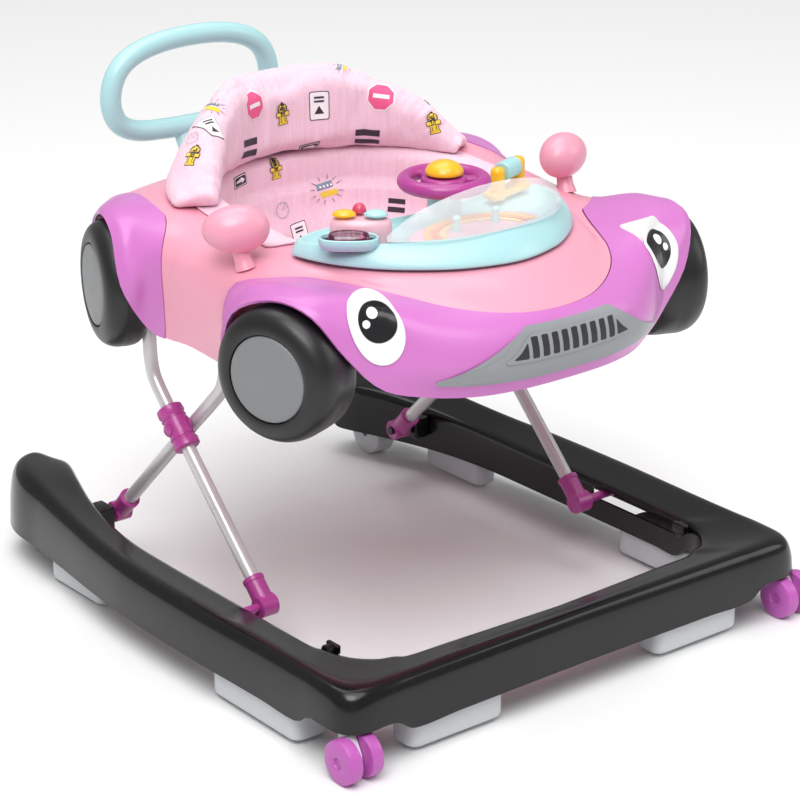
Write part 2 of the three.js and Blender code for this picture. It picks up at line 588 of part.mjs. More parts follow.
// ---------- Push handle ----------
function pushHandle() {
  const right = [[0, 477], [42, 478], [80, 482], [104, 494], [114, 516], [112, 540], [101, 560], [80, 574],
    [46, 583], [0, 586]];
  const ring = [...right, ...right.slice(1, -1).reverse().map(([x, z]) => [-x, z])]
    .map(([x, z]) => new THREE.Vector3(x, HANDLE.y, z));
  const path = new THREE.CatmullRomCurve3(ring, true, "centripetal");
  const rings = span(0, 1, 24).slice(0, -1).map((t) => {
    const centre = path.getPointAt(t);
    const along = path.getTangentAt(t);
    const out = new THREE.Vector3().crossVectors(along, new THREE.Vector3(0, 1, 0)).normalize();
    return span(0, 2 * Math.PI, 8).slice(0, -1).map((a) => centre.clone()
      .addScaledVector(out, HANDLE.r * Math.cos(a)).addScaledVector(new THREE.Vector3(0, 1, 0),
        HANDLE.r * Math.sin(a)));
  });
  const neckLine = [[0, HANDLE.y, 473, 27, 11], [0, 373, 458, 26, 12], [0, 357, 436, 26, 13],
    [0, 335, 415, 27, 14], [0, 309, 402, 29, 15]];
  const neck = neckLine.map(([x, y, z, wide, thick], i) => {
    const a = neckLine[Math.max(i - 1, 0)];
    const b = neckLine[Math.min(i + 1, neckLine.length - 1)];
    const along = i === neckLine.length - 1 ? new THREE.Vector3(0, -1, 0)
      : new THREE.Vector3(0, b[1] - a[1], b[2] - a[2]).normalize();
    const up = new THREE.Vector3().crossVectors(along, new THREE.Vector3(1, 0, 0));
    return span(0, 2 * Math.PI, 12).slice(0, -1).map((k) => new THREE.Vector3(x, y, z)
      .addScaledVector(new THREE.Vector3(1, 0, 0), wide * Math.cos(k))
      .addScaledVector(up, thick * Math.sin(k)));
  });
  return join(loft(rings, true), loft(neck));
}

// ---------- Seat ----------
// Pillow around the back of the seat. Stations from the middle to the end: ridge and lower edges.
function seatBolster() {
  const right = [
    [0, 222, 577, 0, 246, 476, 0, 197, 474], [60, 213, 572, 62, 240, 476, 55, 188, 474],
    [115, 193, 559, 122, 216, 477, 103, 166, 474], [158, 160, 532, 167, 180, 478, 136, 138, 475],
    [181, 128, 509, 194, 142, 476, 153, 108, 474], [186, 96, 492, 203, 106, 475, 160, 84, 473],
  ];
  const all = [...right.slice(1).reverse().map((s) => s.map((k, i) => (i % 3 ? k : -k))), ...right];
  const line = (from) => new THREE.CatmullRomCurve3(
    all.map((s) => new THREE.Vector3(s[from], s[from + 1], s[from + 2])), false, "centripetal");
  const [ridge, outer, inner] = [line(0), line(3), line(6)];
  const rings = span(0, 1, 18).map((t) => {
    const [top, low, near] = [ridge.getPoint(t), outer.getPoint(t), inner.getPoint(t)];
    const mid = low.clone().lerp(near, 0.5);
    const half = low.clone().sub(near).multiplyScalar(0.5);
    const up = top.clone().sub(mid);
    const ends = Math.sqrt(Math.max(0.06, 1 - Math.abs(2 * t - 1) ** 12));
    const outline = [[1, 0], [1.12, 0.3], [1.05, 0.62], [0.72, 0.87], [0.1, 1], [-0.5, 0.94], [-0.92, 0.7],
      [-1.05, 0.35], [-0.95, 0.02], [0, 0]];
    return outline.map(([s, h]) => mid.clone().addScaledVector(half, s * ends).addScaledVector(up, h));
  });
  return loft(rings);
}

const oval = (rx, ry, y, z, count = 16) => span(0, 2 * Math.PI, count).slice(0, -1).map((a) =>
  new THREE.Vector3(rx * Math.cos(a), y + ry * Math.sin(a), z));

function seatSling() {
  const bag = (inset) => loft([
    [140, 121, 78, 452], [139, 120, 78, 430], [128, 112, 80, 390], [108, 98, 84, 340], [84, 82, 88, 300],
    [52, 56, 92, 272 + inset], [22, 26, 94, 262 + inset]].map(([rx, ry, y, z], i) => oval(
    rx - inset, ry - inset, y, i === 0 ? z + (inset ? 1 : 0) : z)));
  const legs = bothSides((s) => {
    const g = new THREE.CylinderGeometry(1, 1, 160, 12);
    const out = new THREE.Vector3(s * 0.72, -0.66, -0.22).normalize();
    const side = new THREE.Vector3().crossVectors(out, new THREE.Vector3(0, 0, 1)).normalize();
    const up = new THREE.Vector3().crossVectors(side, out);
    return g.applyMatrix4(new THREE.Matrix4().makeBasis(
      side.multiplyScalar(36), out, up.multiplyScalar(46))).translate(s * 62, 24, 310);
  });
  return cut(bag(0), bag(2.4), ...legs);
}

// ---------- Toy tray ----------
const mirrorLine = (half) => [...half.slice(1).reverse().map(([x, ...rest]) => [-x, ...rest]), ...half];
const smooth = (points, steps) => new THREE.CatmullRomCurve3(
  points.map((p) => new THREE.Vector3(...p)), false, "centripetal").getPoints(steps);

function toyTrayBase() {
  const front = [[0, -226], [60, -212], [100, -188], [134, -157], [160, -119], [173, -84], [177, -62]];
  const rear = [[0, -57], [40, -55], [80, -50], [112, -40], [140, -40], [168, -50]];
  const line = (inset, frontZ, rearZ, frontShift = 0) => {
    const curve = smooth(mirrorLine(front.map(([x, y]) => {
      const k = (y + 62) / (-226 + 62);
      const d = Math.hypot(x, y + 60) || 1;
      return [x - (x / d) * inset, y - ((y + 60) / d) * inset + frontShift * k,
        THREE.MathUtils.lerp(rearZ, frontZ, Math.max(k, 0))];
    })), 14);
    const back = mirrorLine(rear.map(([x, y]) => [x - Math.sign(x) * inset * 0.6, y - inset * 0.6, rearZ]))
      .reverse().map((p) => new THREE.Vector3(...p));
    return [...curve, ...back];
  };
  const body = loft([line(3, TOY.floor, TOY.floor), line(0, 458, 457.5), line(2, 470, 463, 6),
    line(6, 481, 469, 14), line(9, 484, 471, 18), line(13, 483, 471, 18), line(17, 474, 468, 16),
    line(21, TOY.deck, 466, 14)]);
  const column = cylinder(21, 44, [0, 0, 1], [0, STEERING.y, 484], 16, 17);
  const pin = cylinder(9, 14, [0, 0, 1], [0, STEERING.y, 508], 16);
  const cheeks = cylinder(16.5, 56, BEAD.axis, BEAD.centre, 16);
  const pocket = cylinder(BEAD.r + 1, BEAD.length + 1.2, BEAD.axis, BEAD.centre, 16);
  const [bx, by, bz] = BEAD.centre;
  const opening = cylinder(BEAD.r, BEAD.length + 1.2, BEAD.axis, [bx - 6, by - 8, bz + 8], 16);
  const hole = cylinder(3 + GAP, 54.5, BEAD.axis, BEAD.centre, 10);
  const hornWell = cylinder(7, 30, [0, 0, 1], [0, STEERING.y, 507], 14);
  return cut(join(body, column, pin, cheeks), pocket, opening, hole, hornWell);
}

const BEAD = { axis: [0.78, -0.62, 0], centre: [-148, -122, 481], r: 12.5, length: 44 };
const beadRoller = () => join(cylinder(BEAD.r, BEAD.length, BEAD.axis, BEAD.centre, 18),
  cylinder(3, BEAD.length + 8, BEAD.axis, BEAD.centre, 10));

function windshield() {
  const bottom = mirrorLine([[0, -203.5, 485.5], [45, -200, 485.2], [80, -188, 484.5], [108, -166, 483.4],
    [121, -152, 482.6]]);
  const top = mirrorLine([[0, -181, 530], [30, -180, 528.5], [70, -175, 521], [100, -164, 507],
    [119, -149, 486.5]]);
  const low = smooth(bottom, 18);
  const high = smooth(top, 18);
  const rings = low.map((b, i) => {
    const t = high[i];
    const mid = b.clone().lerp(t, 0.55).add(new THREE.Vector3(0, -5, 0).multiplyScalar(
      Math.min(1, (t.z - b.z) / 40)));
    const back = new THREE.Vector3(-b.x, 120, 60).normalize().multiplyScalar(2.2);
    return [b, mid, t, t.clone().add(back), mid.clone().add(back), b.clone().add(back)];
  });
  return loft(rings);
}

const POD = { x: -118, y: -104 };
function consolePod() {
  const ring = (rx, ry, z) => {
    const turn = new THREE.Vector3(0, 0, 1);
    return span(0, 2 * Math.PI, 24).slice(0, -1).map((a) => new THREE.Vector3(
      rx * Math.cos(a), ry * Math.sin(a), 0).applyAxisAngle(turn, -0.67).add(new THREE.Vector3(POD.x, POD.y, z)));
  };
  const body = loft([ring(31, 19, 472), ring(33, 20, 486), ring(31, 18.5, 494), ring(27, 15, 497)]);
  const cradle = cylinder(17.2, 90, BEAD.axis, BEAD.centre, 16);
  return cut(body, cradle, ...BUTTONS.map(([x, y, r]) => cylinder(r * 0.45 + GAP, 22, [0, 0, 1], [x, y, 492], 12)));
}
const BUTTONS = [[-134, -96, 9], [-108, -117, 9], [-113, -95, 7.5]];

function button([x, y, r], top) {
  const profile = [[0, 0], [r, 0], [r, 2.2], [r * 0.86, top * 0.7], [r * 0.5, top * 0.93], [0, top]];
  const cap = new THREE.LatheGeometry(profile.map((p) => new THREE.Vector2(...p)), 14)
    .rotateX(Math.PI / 2).translate(x, y, 500.6);
  return join(cap, cylinder(r * 0.45, 14, [0, 0, 1], [x, y, 494.5], 12));
}

function steeringWheel() {
  const { y, z, r, tube: t } = STEERING;
  const rim = new THREE.TorusGeometry(r - t, t, 7, 22).translate(0, y, z);
  const hub = cylinder(25, 9, [0, 0, 1], [0, y, z + 1], 16);
  const spokes = [90, 210, 330].map((d) => {
    const a = THREE.MathUtils.degToRad(d);
    const long = r - t - 14;
    return box([0, -7, -3.5], [long, 7, 3.5]).translate(12, 0, 0).rotateZ(a).translate(0, y, z);
  });
  return cut(join(rim, hub, ...spokes), cylinder(9 + GAP, 30, [0, 0, 1], [0, y, z], 12));
}

function hornButton() {
  const { y, z } = STEERING;
  const profile = [[0, 0], [20, 0], [21, 3], [18, 8], [11, 12.5], [0, 14.5]];
  const cap = new THREE.LatheGeometry(profile.map((p) => new THREE.Vector2(...p)), 18)
    .rotateX(Math.PI / 2).translate(0, y, z + 9);
  return join(cap, cylinder(6.4, 26, [0, 0, 1], [0, y, z - 2], 14));
}

const KEY = { x: 116, y: -68, z: 500, reach: 27 };
function keyBracket() {
  const { x, y, z, reach } = KEY;
  const posts = [-1, 1].map((s) => cylinder(8.5, 36, [0, 0, 1], [x + s * reach * 0.86, y + s * 10, z - 10], 12));
  const foot = slab([[x - 36, y - 20], [x + 34, y - 2], [x + 34, y + 20], [x - 36, y + 2]], 472.2, 480, 5);
  const bore = cylinder(3 + GAP, 70, [0.86, 0.36, 0], [x, y, z], 8);
  return cut(join(foot, ...posts), bore);
}
const keyRoller = () => join(
  cylinder(11, 30, [0.86, 0.36, 0], [KEY.x, KEY.y, KEY.z], 14),
  cylinder(3, 58, [0.86, 0.36, 0], [KEY.x, KEY.y, KEY.z], 8));

function mirrorPod(sign) {
  const head = new THREE.SphereGeometry(1, 14, 8).scale(36, 25, 25.5).rotateZ(sign * 0.46)
    .translate(sign * 229, -34, 489);
  const stem = cylinder(11, 30, [sign * 0.1, 0.25, 1], [sign * 226, -40, 471], 12, 7.5);
  const trim = patch(span(8.4, 11.6, 4), span(2.1, 3.9, 4), -16, 0.6);
  return cut(join(head, stem), sign > 0 ? trim : mirrored(trim));
}

// ---------- Assembly ----------
const walker = new THREE.Group();
function add(name, geometry, material) {
  geometry.translate(0, -MIDDLE_Y, 0);
  const mesh = new THREE.Mesh(geometry, material);
  mesh.name = name;
  walker.add(mesh);
}

add("base_shell", baseShell(), BLACK);
for (const [side, s] of [["right", 1], ["left", -1]]) {
  const order = (a, b) => (s > 0 ? [a, b] : [-b, -a]);
  add(`pad_front_${side}`, floorPad(order(110, 236), [-338, -298]), PALE);
  add(`pad_rail_${side}`, floorPad(order(269, 321), [-252, -98]), PALE);
  add(`pad_tail_${side}`, floorPad(order(266, 299), [152, 262]), PALE);
  add(`foot_bracket_${side}`, footBracket(s), BLACK);
  add(`slot_stop_${side}`, join(
    cylinder(8, 12, ACROSS, [s * 254, -222, 80], 14),
    box([-3, -10, -5], [3, 10, 5]).translate(s * 250, -224, 84)), BLACK);
  add(`caster_fork_${side}`, caster(s), PALE);
  add(`caster_wheel_${side}`, casterTwin(s), MAGENTA);
  add(`rear_roller_${side}`, roller(s), PALE);
  add(`inner_tube_${side}`, innerTube(s), STEEL);
  add(`inner_foot_${side}`, innerFoot(s), MAGENTA);
  add(`outer_tube_${side}`, outerTube(s), STEEL);
  add(`outer_foot_${side}`, outerFoot(s), MAGENTA);
  add(`hub_clamp_${side}`, hubClamp(s), MAGENTA);
  add(`rear_fender_${side}`, fender(REAR_FENDER, REAR_SPANS, s < 0), ORCHID);
  for (const [end, kind] of [["front", DECOR_FRONT], ["rear", DECOR_REAR]]) {
    add(`tyre_${end}_${side}`, decorWheel(kind, s, tyreProfile(kind)), TYRE);
    add(`hubcap_${end}_${side}`, decorWheel(kind, s, capProfile()), GREY);
  }
  add(`eye_${side}`, eyeWhite(s), PALE);
  add(`mirror_${side}`, mirrorPod(s), PINK);
}
add("body_shell", trayBody(), PINK);
add("front_fender", fender(FRONT_FENDER, FRONT_SPANS), ORCHID);
add("grille", grille(), GREY);
add("tray_pan", trayPan(), PINK);
add("push_handle", pushHandle(), TEAL);
add("seat_bolster", seatBolster(), FABRIC);
add("seat_sling", seatSling(), FABRIC);
add("toy_tray_base", toyTrayBase(), TEAL);
add("windshield", windshield(), CLEAR);
add("console_pod", consolePod(), MAGENTA);
add("steering_wheel", steeringWheel(), MAGENTA);
add("horn_button", hornButton(), YELLOW);
add("button_yellow", button(BUTTONS[0], 6), YELLOW);
add("button_teal", button(BUTTONS[1], 6), TEAL);
add("button_red", button(BUTTONS[2], 9), RED);
add("bead_roller", beadRoller(), BERRY);
add("key_bracket", keyBracket(), YELLOW);
add("key_roller", keyRoller(), TEAL);

export default walker;
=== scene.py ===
import math

import bmesh
import bpy
import numpy as np
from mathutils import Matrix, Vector, kdtree, noise
from mathutils.bvhtree import BVHTree


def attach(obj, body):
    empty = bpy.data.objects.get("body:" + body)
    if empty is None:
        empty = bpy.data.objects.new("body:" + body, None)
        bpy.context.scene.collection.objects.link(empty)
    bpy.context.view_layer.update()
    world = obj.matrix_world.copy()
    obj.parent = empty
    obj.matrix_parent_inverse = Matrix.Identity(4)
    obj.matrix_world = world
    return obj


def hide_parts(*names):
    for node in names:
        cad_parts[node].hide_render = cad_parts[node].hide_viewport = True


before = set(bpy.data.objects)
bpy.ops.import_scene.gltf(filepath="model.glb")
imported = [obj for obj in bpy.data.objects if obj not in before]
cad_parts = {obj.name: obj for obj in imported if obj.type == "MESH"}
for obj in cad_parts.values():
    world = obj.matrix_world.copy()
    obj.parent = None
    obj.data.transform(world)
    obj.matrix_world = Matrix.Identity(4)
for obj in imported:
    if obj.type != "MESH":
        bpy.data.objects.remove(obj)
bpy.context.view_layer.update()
MIDDLE_Y = 16.8
ACROSS, UP = (1, 0, 0), (0, 0, 1)
CASTER_AXLE, HUB = (312, -339, 24), (230, 84, 230)
TURN = 2 * math.pi


def at(x, y, z):
    """A design point in millimetres, in the row frame in metres."""
    return Vector((x, y - MIDDLE_Y, z)) * 0.001


# ---------- Camera, light and floor ----------
LENS, CAMERA_TURN, CAMERA_RISE = 121.05, -38.61, 20.87
CAMERA_PLACE = (-1771.7, -2240.6, 1322.3)


def camera():
    data = bpy.data.cameras.new("camera")
    data.lens, data.sensor_width = LENS, 36
    data.clip_end = 50
    cam = bpy.data.objects.new("camera", data)
    bpy.context.scene.collection.objects.link(cam)
    turn, rise = math.radians(CAMERA_TURN), math.radians(CAMERA_RISE)
    back = Vector((math.sin(turn) * math.cos(rise), -math.cos(turn) * math.cos(rise), math.sin(rise)))
    cam.location = at(*CAMERA_PLACE)
    cam.rotation_euler = back.to_track_quat("Z", "Y").to_euler()
    bpy.context.scene.camera = cam


def area_light(name, location, target, size, power, color=(1, 1, 1)):
    data = bpy.data.lights.new(name, "AREA")
    data.shape = "RECTANGLE"
    data.size, data.size_y = size
    data.energy = power
    data.color = color
    lamp = bpy.data.objects.new(name, data)
    lamp.location = location
    lamp.rotation_euler = (Vector(location) - Vector(target)).to_track_quat("Z", "Y").to_euler()
    bpy.context.scene.collection.objects.link(lamp)


def stage():
    world = bpy.data.worlds.new("world")
    bpy.context.scene.world = world
    world.use_nodes = True
    world.node_tree.nodes["Background"].inputs["Color"].default_value = (1, 1, 1, 1)
    world.node_tree.nodes["Background"].inputs["Strength"].default_value = 0.36
    bpy.ops.mesh.primitive_grid_add(x_subdivisions=2, y_subdivisions=2, size=24)
    floor = bpy.context.object
    floor.name = "floor"
    skin = bpy.data.materials.new("floor")
    skin.use_nodes = True
    shader = skin.node_tree.nodes["Principled BSDF"]
    shader.inputs["Base Color"].default_value = (0.86, 0.86, 0.86, 1)
    shader.inputs["Roughness"].default_value = 0.55
    shader.inputs["Specular IOR Level"].default_value = 0.25
    floor.data.materials.append(skin)
    sun = bpy.data.lights.new("sky", "SUN")
    sun.energy, sun.angle = 1.95, math.radians(55)
    lamp = bpy.data.objects.new("sky", sun)
    bpy.context.scene.collection.objects.link(lamp)
    lamp.rotation_euler = (math.radians(18), math.radians(-14), 0)
    area_light("key", (-1.6, -1.4, 2.6), (0, 0, 0.3), (1.6, 1.6), 34)
    area_light("fill", (2.2, -1.6, 1.6), (0, 0, 0.3), (1.4, 1.4), 12)
    area_light("top", (0.2, 0.9, 2.8), (0, 0, 0.3), (2.4, 1.4), 24)
    bpy.context.scene.view_settings.view_transform = "Standard"


# ---------- Node helpers ----------
class Nodes:
    """Short names for making a node tree."""

    def __init__(self, name):
        self.material = bpy.data.materials.new(name)
        self.material.use_nodes = True
        self.tree = self.material.node_tree
        self.shader = self.tree.nodes["Principled BSDF"]

    def add(self, kind, inputs=None, **settings):
        node = self.tree.nodes.new("ShaderNode" + kind)
        for key, value in settings.items():
            setattr(node, key, value)
        for key, value in (inputs or {}).items():
            self.feed(node.inputs[key], value)
        return node

    def feed(self, socket, value):
        if isinstance(value, bpy.types.NodeSocket):
            self.tree.links.new(value, socket)
        else:
            socket.default_value = value

    def math(self, operation, a, b=0.0):
        return self.add("Math", {0: a, 1: b}, operation=operation).outputs[0]

    def mix(self, factor, a, b):
        node = self.add("Mix", data_type="RGBA")
        self.feed(node.inputs["Factor"], factor)
        self.feed(node.inputs["A"], a)
        self.feed(node.inputs["B"], b)
        return node.outputs["Result"]

    def coords(self):
        return self.add("TexCoord").outputs["Object"]

    def noise(self, scale, detail=2.0, vector=None, rough=0.5):
        node = self.add("TexNoise", {"Scale": scale, "Detail": detail, "Roughness": rough})
        self.feed(node.inputs["Vector"], vector or self.coords())
        return node.outputs["Fac"]

    def range(self, value, low, high, out_low, out_high):
        node = self.add("MapRange", {0: value, 1: low, 2: high, 3: out_low, 4: out_high})
        return node.outputs[0]

    def bump(self, height, strength, distance):
        node = self.add("Bump", {"Height": height, "Strength": strength, "Distance": distance})
        self.feed(self.shader.inputs["Normal"], node.outputs[0])

    def set(self, **values):
        names = {"color": "Base Color", "rough": "Roughness", "metal": "Metallic", "coat": "Coat Weight",
                 "coat_rough": "Coat Roughness", "sheen": "Sheen Weight", "alpha": "Alpha",
                 "specular": "Specular IOR Level"}
        for key, value in values.items():
            self.feed(self.shader.inputs[names[key]], value)


def tone(color, factor):
    return (*[min(1.0, c * factor) for c in color[:3]], 1)


def plastic(name, color, rough=0.3, coat=0.35, spread=0.04, grain=0.00004):
    """Moulded plastic: faint tone drift, uneven gloss and a fine moulding grain."""
    n = Nodes(name)
    drift = n.noise(7, 2)
    n.set(color=n.mix(drift, tone(color, 1 - spread), tone(color, 1 + spread)),
          rough=n.range(n.noise(26, 3), 0.3, 0.7, rough * 0.88, rough * 1.12), coat=coat, coat_rough=0.12)
    n.bump(n.noise(900, 2), 0.35, grain)
    return n.material


# ---------- Mesh helpers ----------
def round_steps(count):
    """Angles evenly round a full turn."""
    return np.linspace(0, TURN, count, endpoint=False)


def hermite(before, start, end, after, t):
    """Smooth line between start and end whose slopes are weighed by the spacing of the points."""
    length = np.linalg.norm(end - start) + 1e-9
    leave = (end - before) * length / (length + np.linalg.norm(start - before))
    reach = (after - start) * length / (length + np.linalg.norm(after - end))
    return ((2 * t**3 - 3 * t**2 + 1) * start + (3 * t**2 - 2 * t**3) * end
            + (t**3 - 2 * t**2 + t) * leave + (t**3 - t**2) * reach)


def curve(points, count, closed=False):
    """count points, evenly spread along a smooth line through the given ones."""
    p = np.array(points, float)
    n = len(p)
    pick = (lambda i: p[i % n]) if closed else (lambda i: p[min(max(i, 0), n - 1)])
    fine = [hermite(pick(i - 1), pick(i), pick(i + 1), pick(i + 2), t)
            for i in range(n if closed else n - 1) for t in np.linspace(0, 1, 14, endpoint=False)]
    fine.append(pick(n) if closed else p[-1])
    fine = np.array(fine)
    along = np.r_[0, np.cumsum(np.linalg.norm(np.diff(fine[:, :3], axis=0), axis=1))]
    want = np.linspace(0, along[-1], count + 1 if closed else count)
    out = np.stack([np.interp(want, along, fine[:, k]) for k in range(fine.shape[1])], axis=1)
    return out[:-1] if closed else out


def spread(rings, count):
    """Resamples a stack of rings smoothly from ring to ring."""
    rings = np.array(rings, float)
    want = np.linspace(0, len(rings) - 1, count)
    out = []
    for w in want:
        i = min(int(w), len(rings) - 2)
        a, d = max(i - 1, 0), min(i + 2, len(rings) - 1)
        out.append(hermite(rings[a], rings[i], rings[i + 1], rings[d], w - i))
    return np.array(out)


def grid(rings, around=True, along=False, caps=True):
    """Vertices and faces through equal rings. around closes each ring, along joins last to first."""
    rings = np.array(rings, float)
    rows, n = rings.shape[:2]
    faces = []
    for i in range(rows if along else rows - 1):
        k = (i + 1) % rows
        for j in range(n if around else n - 1):
            m = (j + 1) % n
            faces.append((i * n + j, i * n + m, k * n + m, k * n + j))
    if around and caps and not along:
        faces.append(tuple(range(n))[::-1])
        faces.append(tuple((rows - 1) * n + j for j in range(n)))
    return rings.reshape(-1, 3), faces


def merge(*pieces):
    """Joins several (vertices, faces) lists into one."""
    points, faces = [], []
    for p, f in pieces:
        base = sum(len(q) for q in points)
        points.append(np.array(p, float))
        faces += [tuple(base + i for i in face) for face in f]
    return np.concatenate(points), faces


def lathe(profile, centre, axis, segments=64):
    """Turns (radius, height) points round an axis through centre."""
    axis = Vector(axis).normalized()
    turn = axis.to_track_quat("Z", "Y").to_matrix()
    rings = []
    for r, h in profile:
        rings.append([turn @ Vector((r * math.cos(a), r * math.sin(a), h)) + Vector(centre)
                      for a in round_steps(segments)])
    return grid(np.array([[tuple(p) for p in ring] for ring in rings]))


def sweep(path, radius, sides=20, closed=False, squash=1.0, up=(0, 1, 0)):
    """Round bar along a path; up stays across the section."""
    path = np.array(path, float)
    n = len(path)
    radii = np.broadcast_to(radius, n)
    rings = []
    for i, p in enumerate(path):
        a = path[(i - 1) % n] if closed else path[max(i - 1, 0)]
        b = path[(i + 1) % n] if closed else path[min(i + 1, n - 1)]
        forward = (b - a) / np.linalg.norm(b - a)
        side = np.cross(up, forward)
        side /= np.linalg.norm(side)
        over = np.cross(forward, side)
        angles = round_steps(sides)
        rings.append([p + radii[i] * (math.cos(t) * side + squash * math.sin(t) * over) for t in angles])
    return grid(rings, along=closed)


def rounded(points, radius, steps=5):
    """A flat outline with its corners rounded."""
    out = []
    n = len(points)
    for i in range(n):
        here, before, after = (np.array(points[k % n], float) for k in (i, i - 1, i + 1))
        r = min(radius, 0.45 * np.linalg.norm(before - here), 0.45 * np.linalg.norm(after - here))
        a = here + (before - here) / np.linalg.norm(before - here) * r
        b = here + (after - here) / np.linalg.norm(after - here) * r
        for t in np.linspace(0, 1, steps):
            out.append((1 - t)**2 * a + 2 * t * (1 - t) * here + t**2 * b)
    return np.array(out)


def slab(outline, z0, z1, edge=1.0, steps=3):
    """Flat piece with rounded top and bottom edges."""
    outline = np.array(outline, float)
    centre = outline.mean(axis=0)
    ahead = np.roll(outline, -1, axis=0) - np.roll(outline, 1, axis=0)
    outward = np.stack([ahead[:, 1], -ahead[:, 0]], axis=1)
    outward /= np.linalg.norm(outward, axis=1)[:, None]
    if np.sum((outline - centre) * outward) < 0:
        outward = -outward
    rings = []
    for t in np.linspace(0, math.pi / 2, steps + 1):
        inset, rise = edge * (1 - math.sin(t)), edge * (1 - math.cos(t))
        rings.append([(x, y, z0 + rise) for x, y in outline - outward * inset])
    rings += [[(x, y, z0 + z1 - z) for x, y, z in ring] for ring in rings[::-1]]
    return grid(rings)


def build(name, mesh_data, material, body, nodes=(), smooth=35, bevel=0.0):
    """Makes the object, in metres, from millimetre design points."""
    points, faces = mesh_data
    mesh = bpy.data.meshes.new(name)
    mesh.from_pydata([tuple(at(*p)) for p in points], [], faces)
    mesh.update()
    work = bmesh.new()
    work.from_mesh(mesh)
    bmesh.ops.recalc_face_normals(work, faces=work.faces)
    work.to_mesh(mesh)
    work.free()
    piece = bpy.data.objects.new(name, mesh)
    bpy.context.scene.collection.objects.link(piece)
    mesh.materials.append(material)
    if bevel:
        edge = piece.modifiers.new("edges", "BEVEL")
        edge.width, edge.segments, edge.limit_method = bevel * 0.001, 3, "ANGLE"
        edge.angle_limit = math.radians(32)
    shade(piece, smooth)
    if body:
        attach(piece, body)
    if nodes:
        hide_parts(*([nodes] if isinstance(nodes, str) else nodes))
    return piece


def shade(piece, angle):
    mesh = piece.data
    mesh.polygons.foreach_set("use_smooth", [True] * len(mesh.polygons))
    mesh.set_sharp_from_angle(angle=math.radians(angle))
    mesh.update()


def mirrored(mesh_data):
    points, faces = mesh_data
    points = np.array(points, float) * (-1, 1, 1)
    return points, [face[::-1] for face in faces]


SIDES = (("right", 1), ("left", -1))


def pair(make):
    """Both sides of a piece that is designed on the right."""
    for side, sign in SIDES:
        make(side, sign, (lambda m: m) if sign > 0 else mirrored)


# ---------- Tray skin: the net of the moulded car body, right half from the nose to the tail ----------
NET = [
    [(0, -50), (35, -49), (62, -46), (86, -40), (106, -31), (120, -21), (130, -11), (137, 1), (142, 13),
     (146, 27), (149, 43), (150, 62), (149, 86), (145, 108), (137, 130), (124, 152), (107, 172),
     (88, 187), (50, 202), (0, 207)],
    [(0, -50, 448), (35, -49, 448), (62, -46, 448), (86, -40, 448), (106, -31, 448), (120, -21, 448),
     (130, -11, 449), (137, 1, 451), (142, 13, 455), (146, 27, 459), (149, 43, 463), (150, 62, 465),
     (149, 86, 467), (145, 108, 468), (137, 130, 469), (124, 152, 469), (107, 172, 469),
     (88, 187, 469), (50, 202, 469), (0, 207, 469)],
    [(0, -230, 452.5), (58, -215, 452.5), (100, -191, 452.5), (133, -161, 452.5), (152, -137, 452),
     (163, -117, 451), (172, -98, 451), (178, -80, 451.5), (183, -60, 453), (187, -40, 456),
     (189, -15, 460), (190, 20, 463), (189, 60, 466), (186, 95, 469), (176, 130, 471),
     (160, 165, 471), (142, 193, 470), (120, 214, 468), (72, 234, 467), (0, 240, 467)],
    [(0, -290, 423), (46, -283, 424), (86, -263, 428), (117, -238, 434), (139, -209, 440),
     (154, -180, 443), (167, -153, 445), (180, -129, 446), (194, -106, 447), (210, -82, 448),
     (221, -48, 451), (227, 5, 455), (226, 60, 461), (224, 98, 468), (219, 132, 472),
     (210, 167, 472), (198, 202, 468), (178, 234, 461), (105, 264, 456), (0, 272, 456)],
    [(0, -303, 408), (56, -300, 408), (102, -286, 411), (144, -261, 420), (184, -228, 438),
     (212, -206, 451), (234, -184, 458), (249, -150, 461), (262, -114, 455), (256, -74, 441),
     (248, -42, 437), (248, 12, 436), (252, 68, 438), (258, 100, 450), (244, 140, 467),
     (226, 190, 468), (207, 238, 455), (188, 262, 436), (112, 290, 434), (0, 303, 436)],
    [(0, -309, 382), (60, -306, 382), (110, -294, 382), (153, -270, 385), (193, -238, 394),
     (229, -224, 429), (256, -203, 452), (271, -162, 458), (284, -118, 438), (283, -84, 402),
     (262, -52, 392), (253, 20, 392), (256, 84, 394), (277, 96, 415), (264, 134, 459),
     (245, 192, 464), (225, 242, 437), (207, 259, 393), (118, 300, 392), (0, 308, 392)],
    [(0, -297, 347), (60, -294, 347), (110, -281, 347), (155, -257, 350), (196, -237, 362),
     (236, -229, 403), (262, -208, 445), (277, -164, 454), (292, -114, 433), (287, -87, 383),
     (261, -70, 350), (251, 26, 347), (254, 95, 346), (284, 104, 398), (273, 139, 450),
     (255, 192, 458), (233, 241, 420), (216, 252, 352), (120, 298, 347), (0, 305, 347)],
]
NET[0] = [(x * 0.985, 78 + (y - 78) * 0.985, 432) for x, y in NET[0]]
HALF = len(NET[0]) - 1
AROUND = 2 * HALF
LINE, LIP = 3, len(NET) - 1
FRONT_FENDER = (-10, 10, 2.2)
REAR_FENDER = (11.6, 17.3, 1.9)
_columns = {}


def net_column(column):
    c = column % AROUND
    return np.array([(x, y, z) if c <= HALF else (-x, y, z)
                     for x, y, z in (row[c if c <= HALF else AROUND - c] for row in NET)])


def column_points(u):
    """The net's rings at column u, smooth from column to column."""
    key = round(u, 6)
    if key not in _columns:
        i = math.floor(u)
        t = u - i
        w = (-t + 2 * t**2 - t**3, 2 - 5 * t**2 + 3 * t**3, t + 4 * t**2 - 3 * t**3, t**3 - t**2)
        _columns[key] = sum(w[a] / 2 * net_column(i + a - 1) for a in range(4))
    return _columns[key]


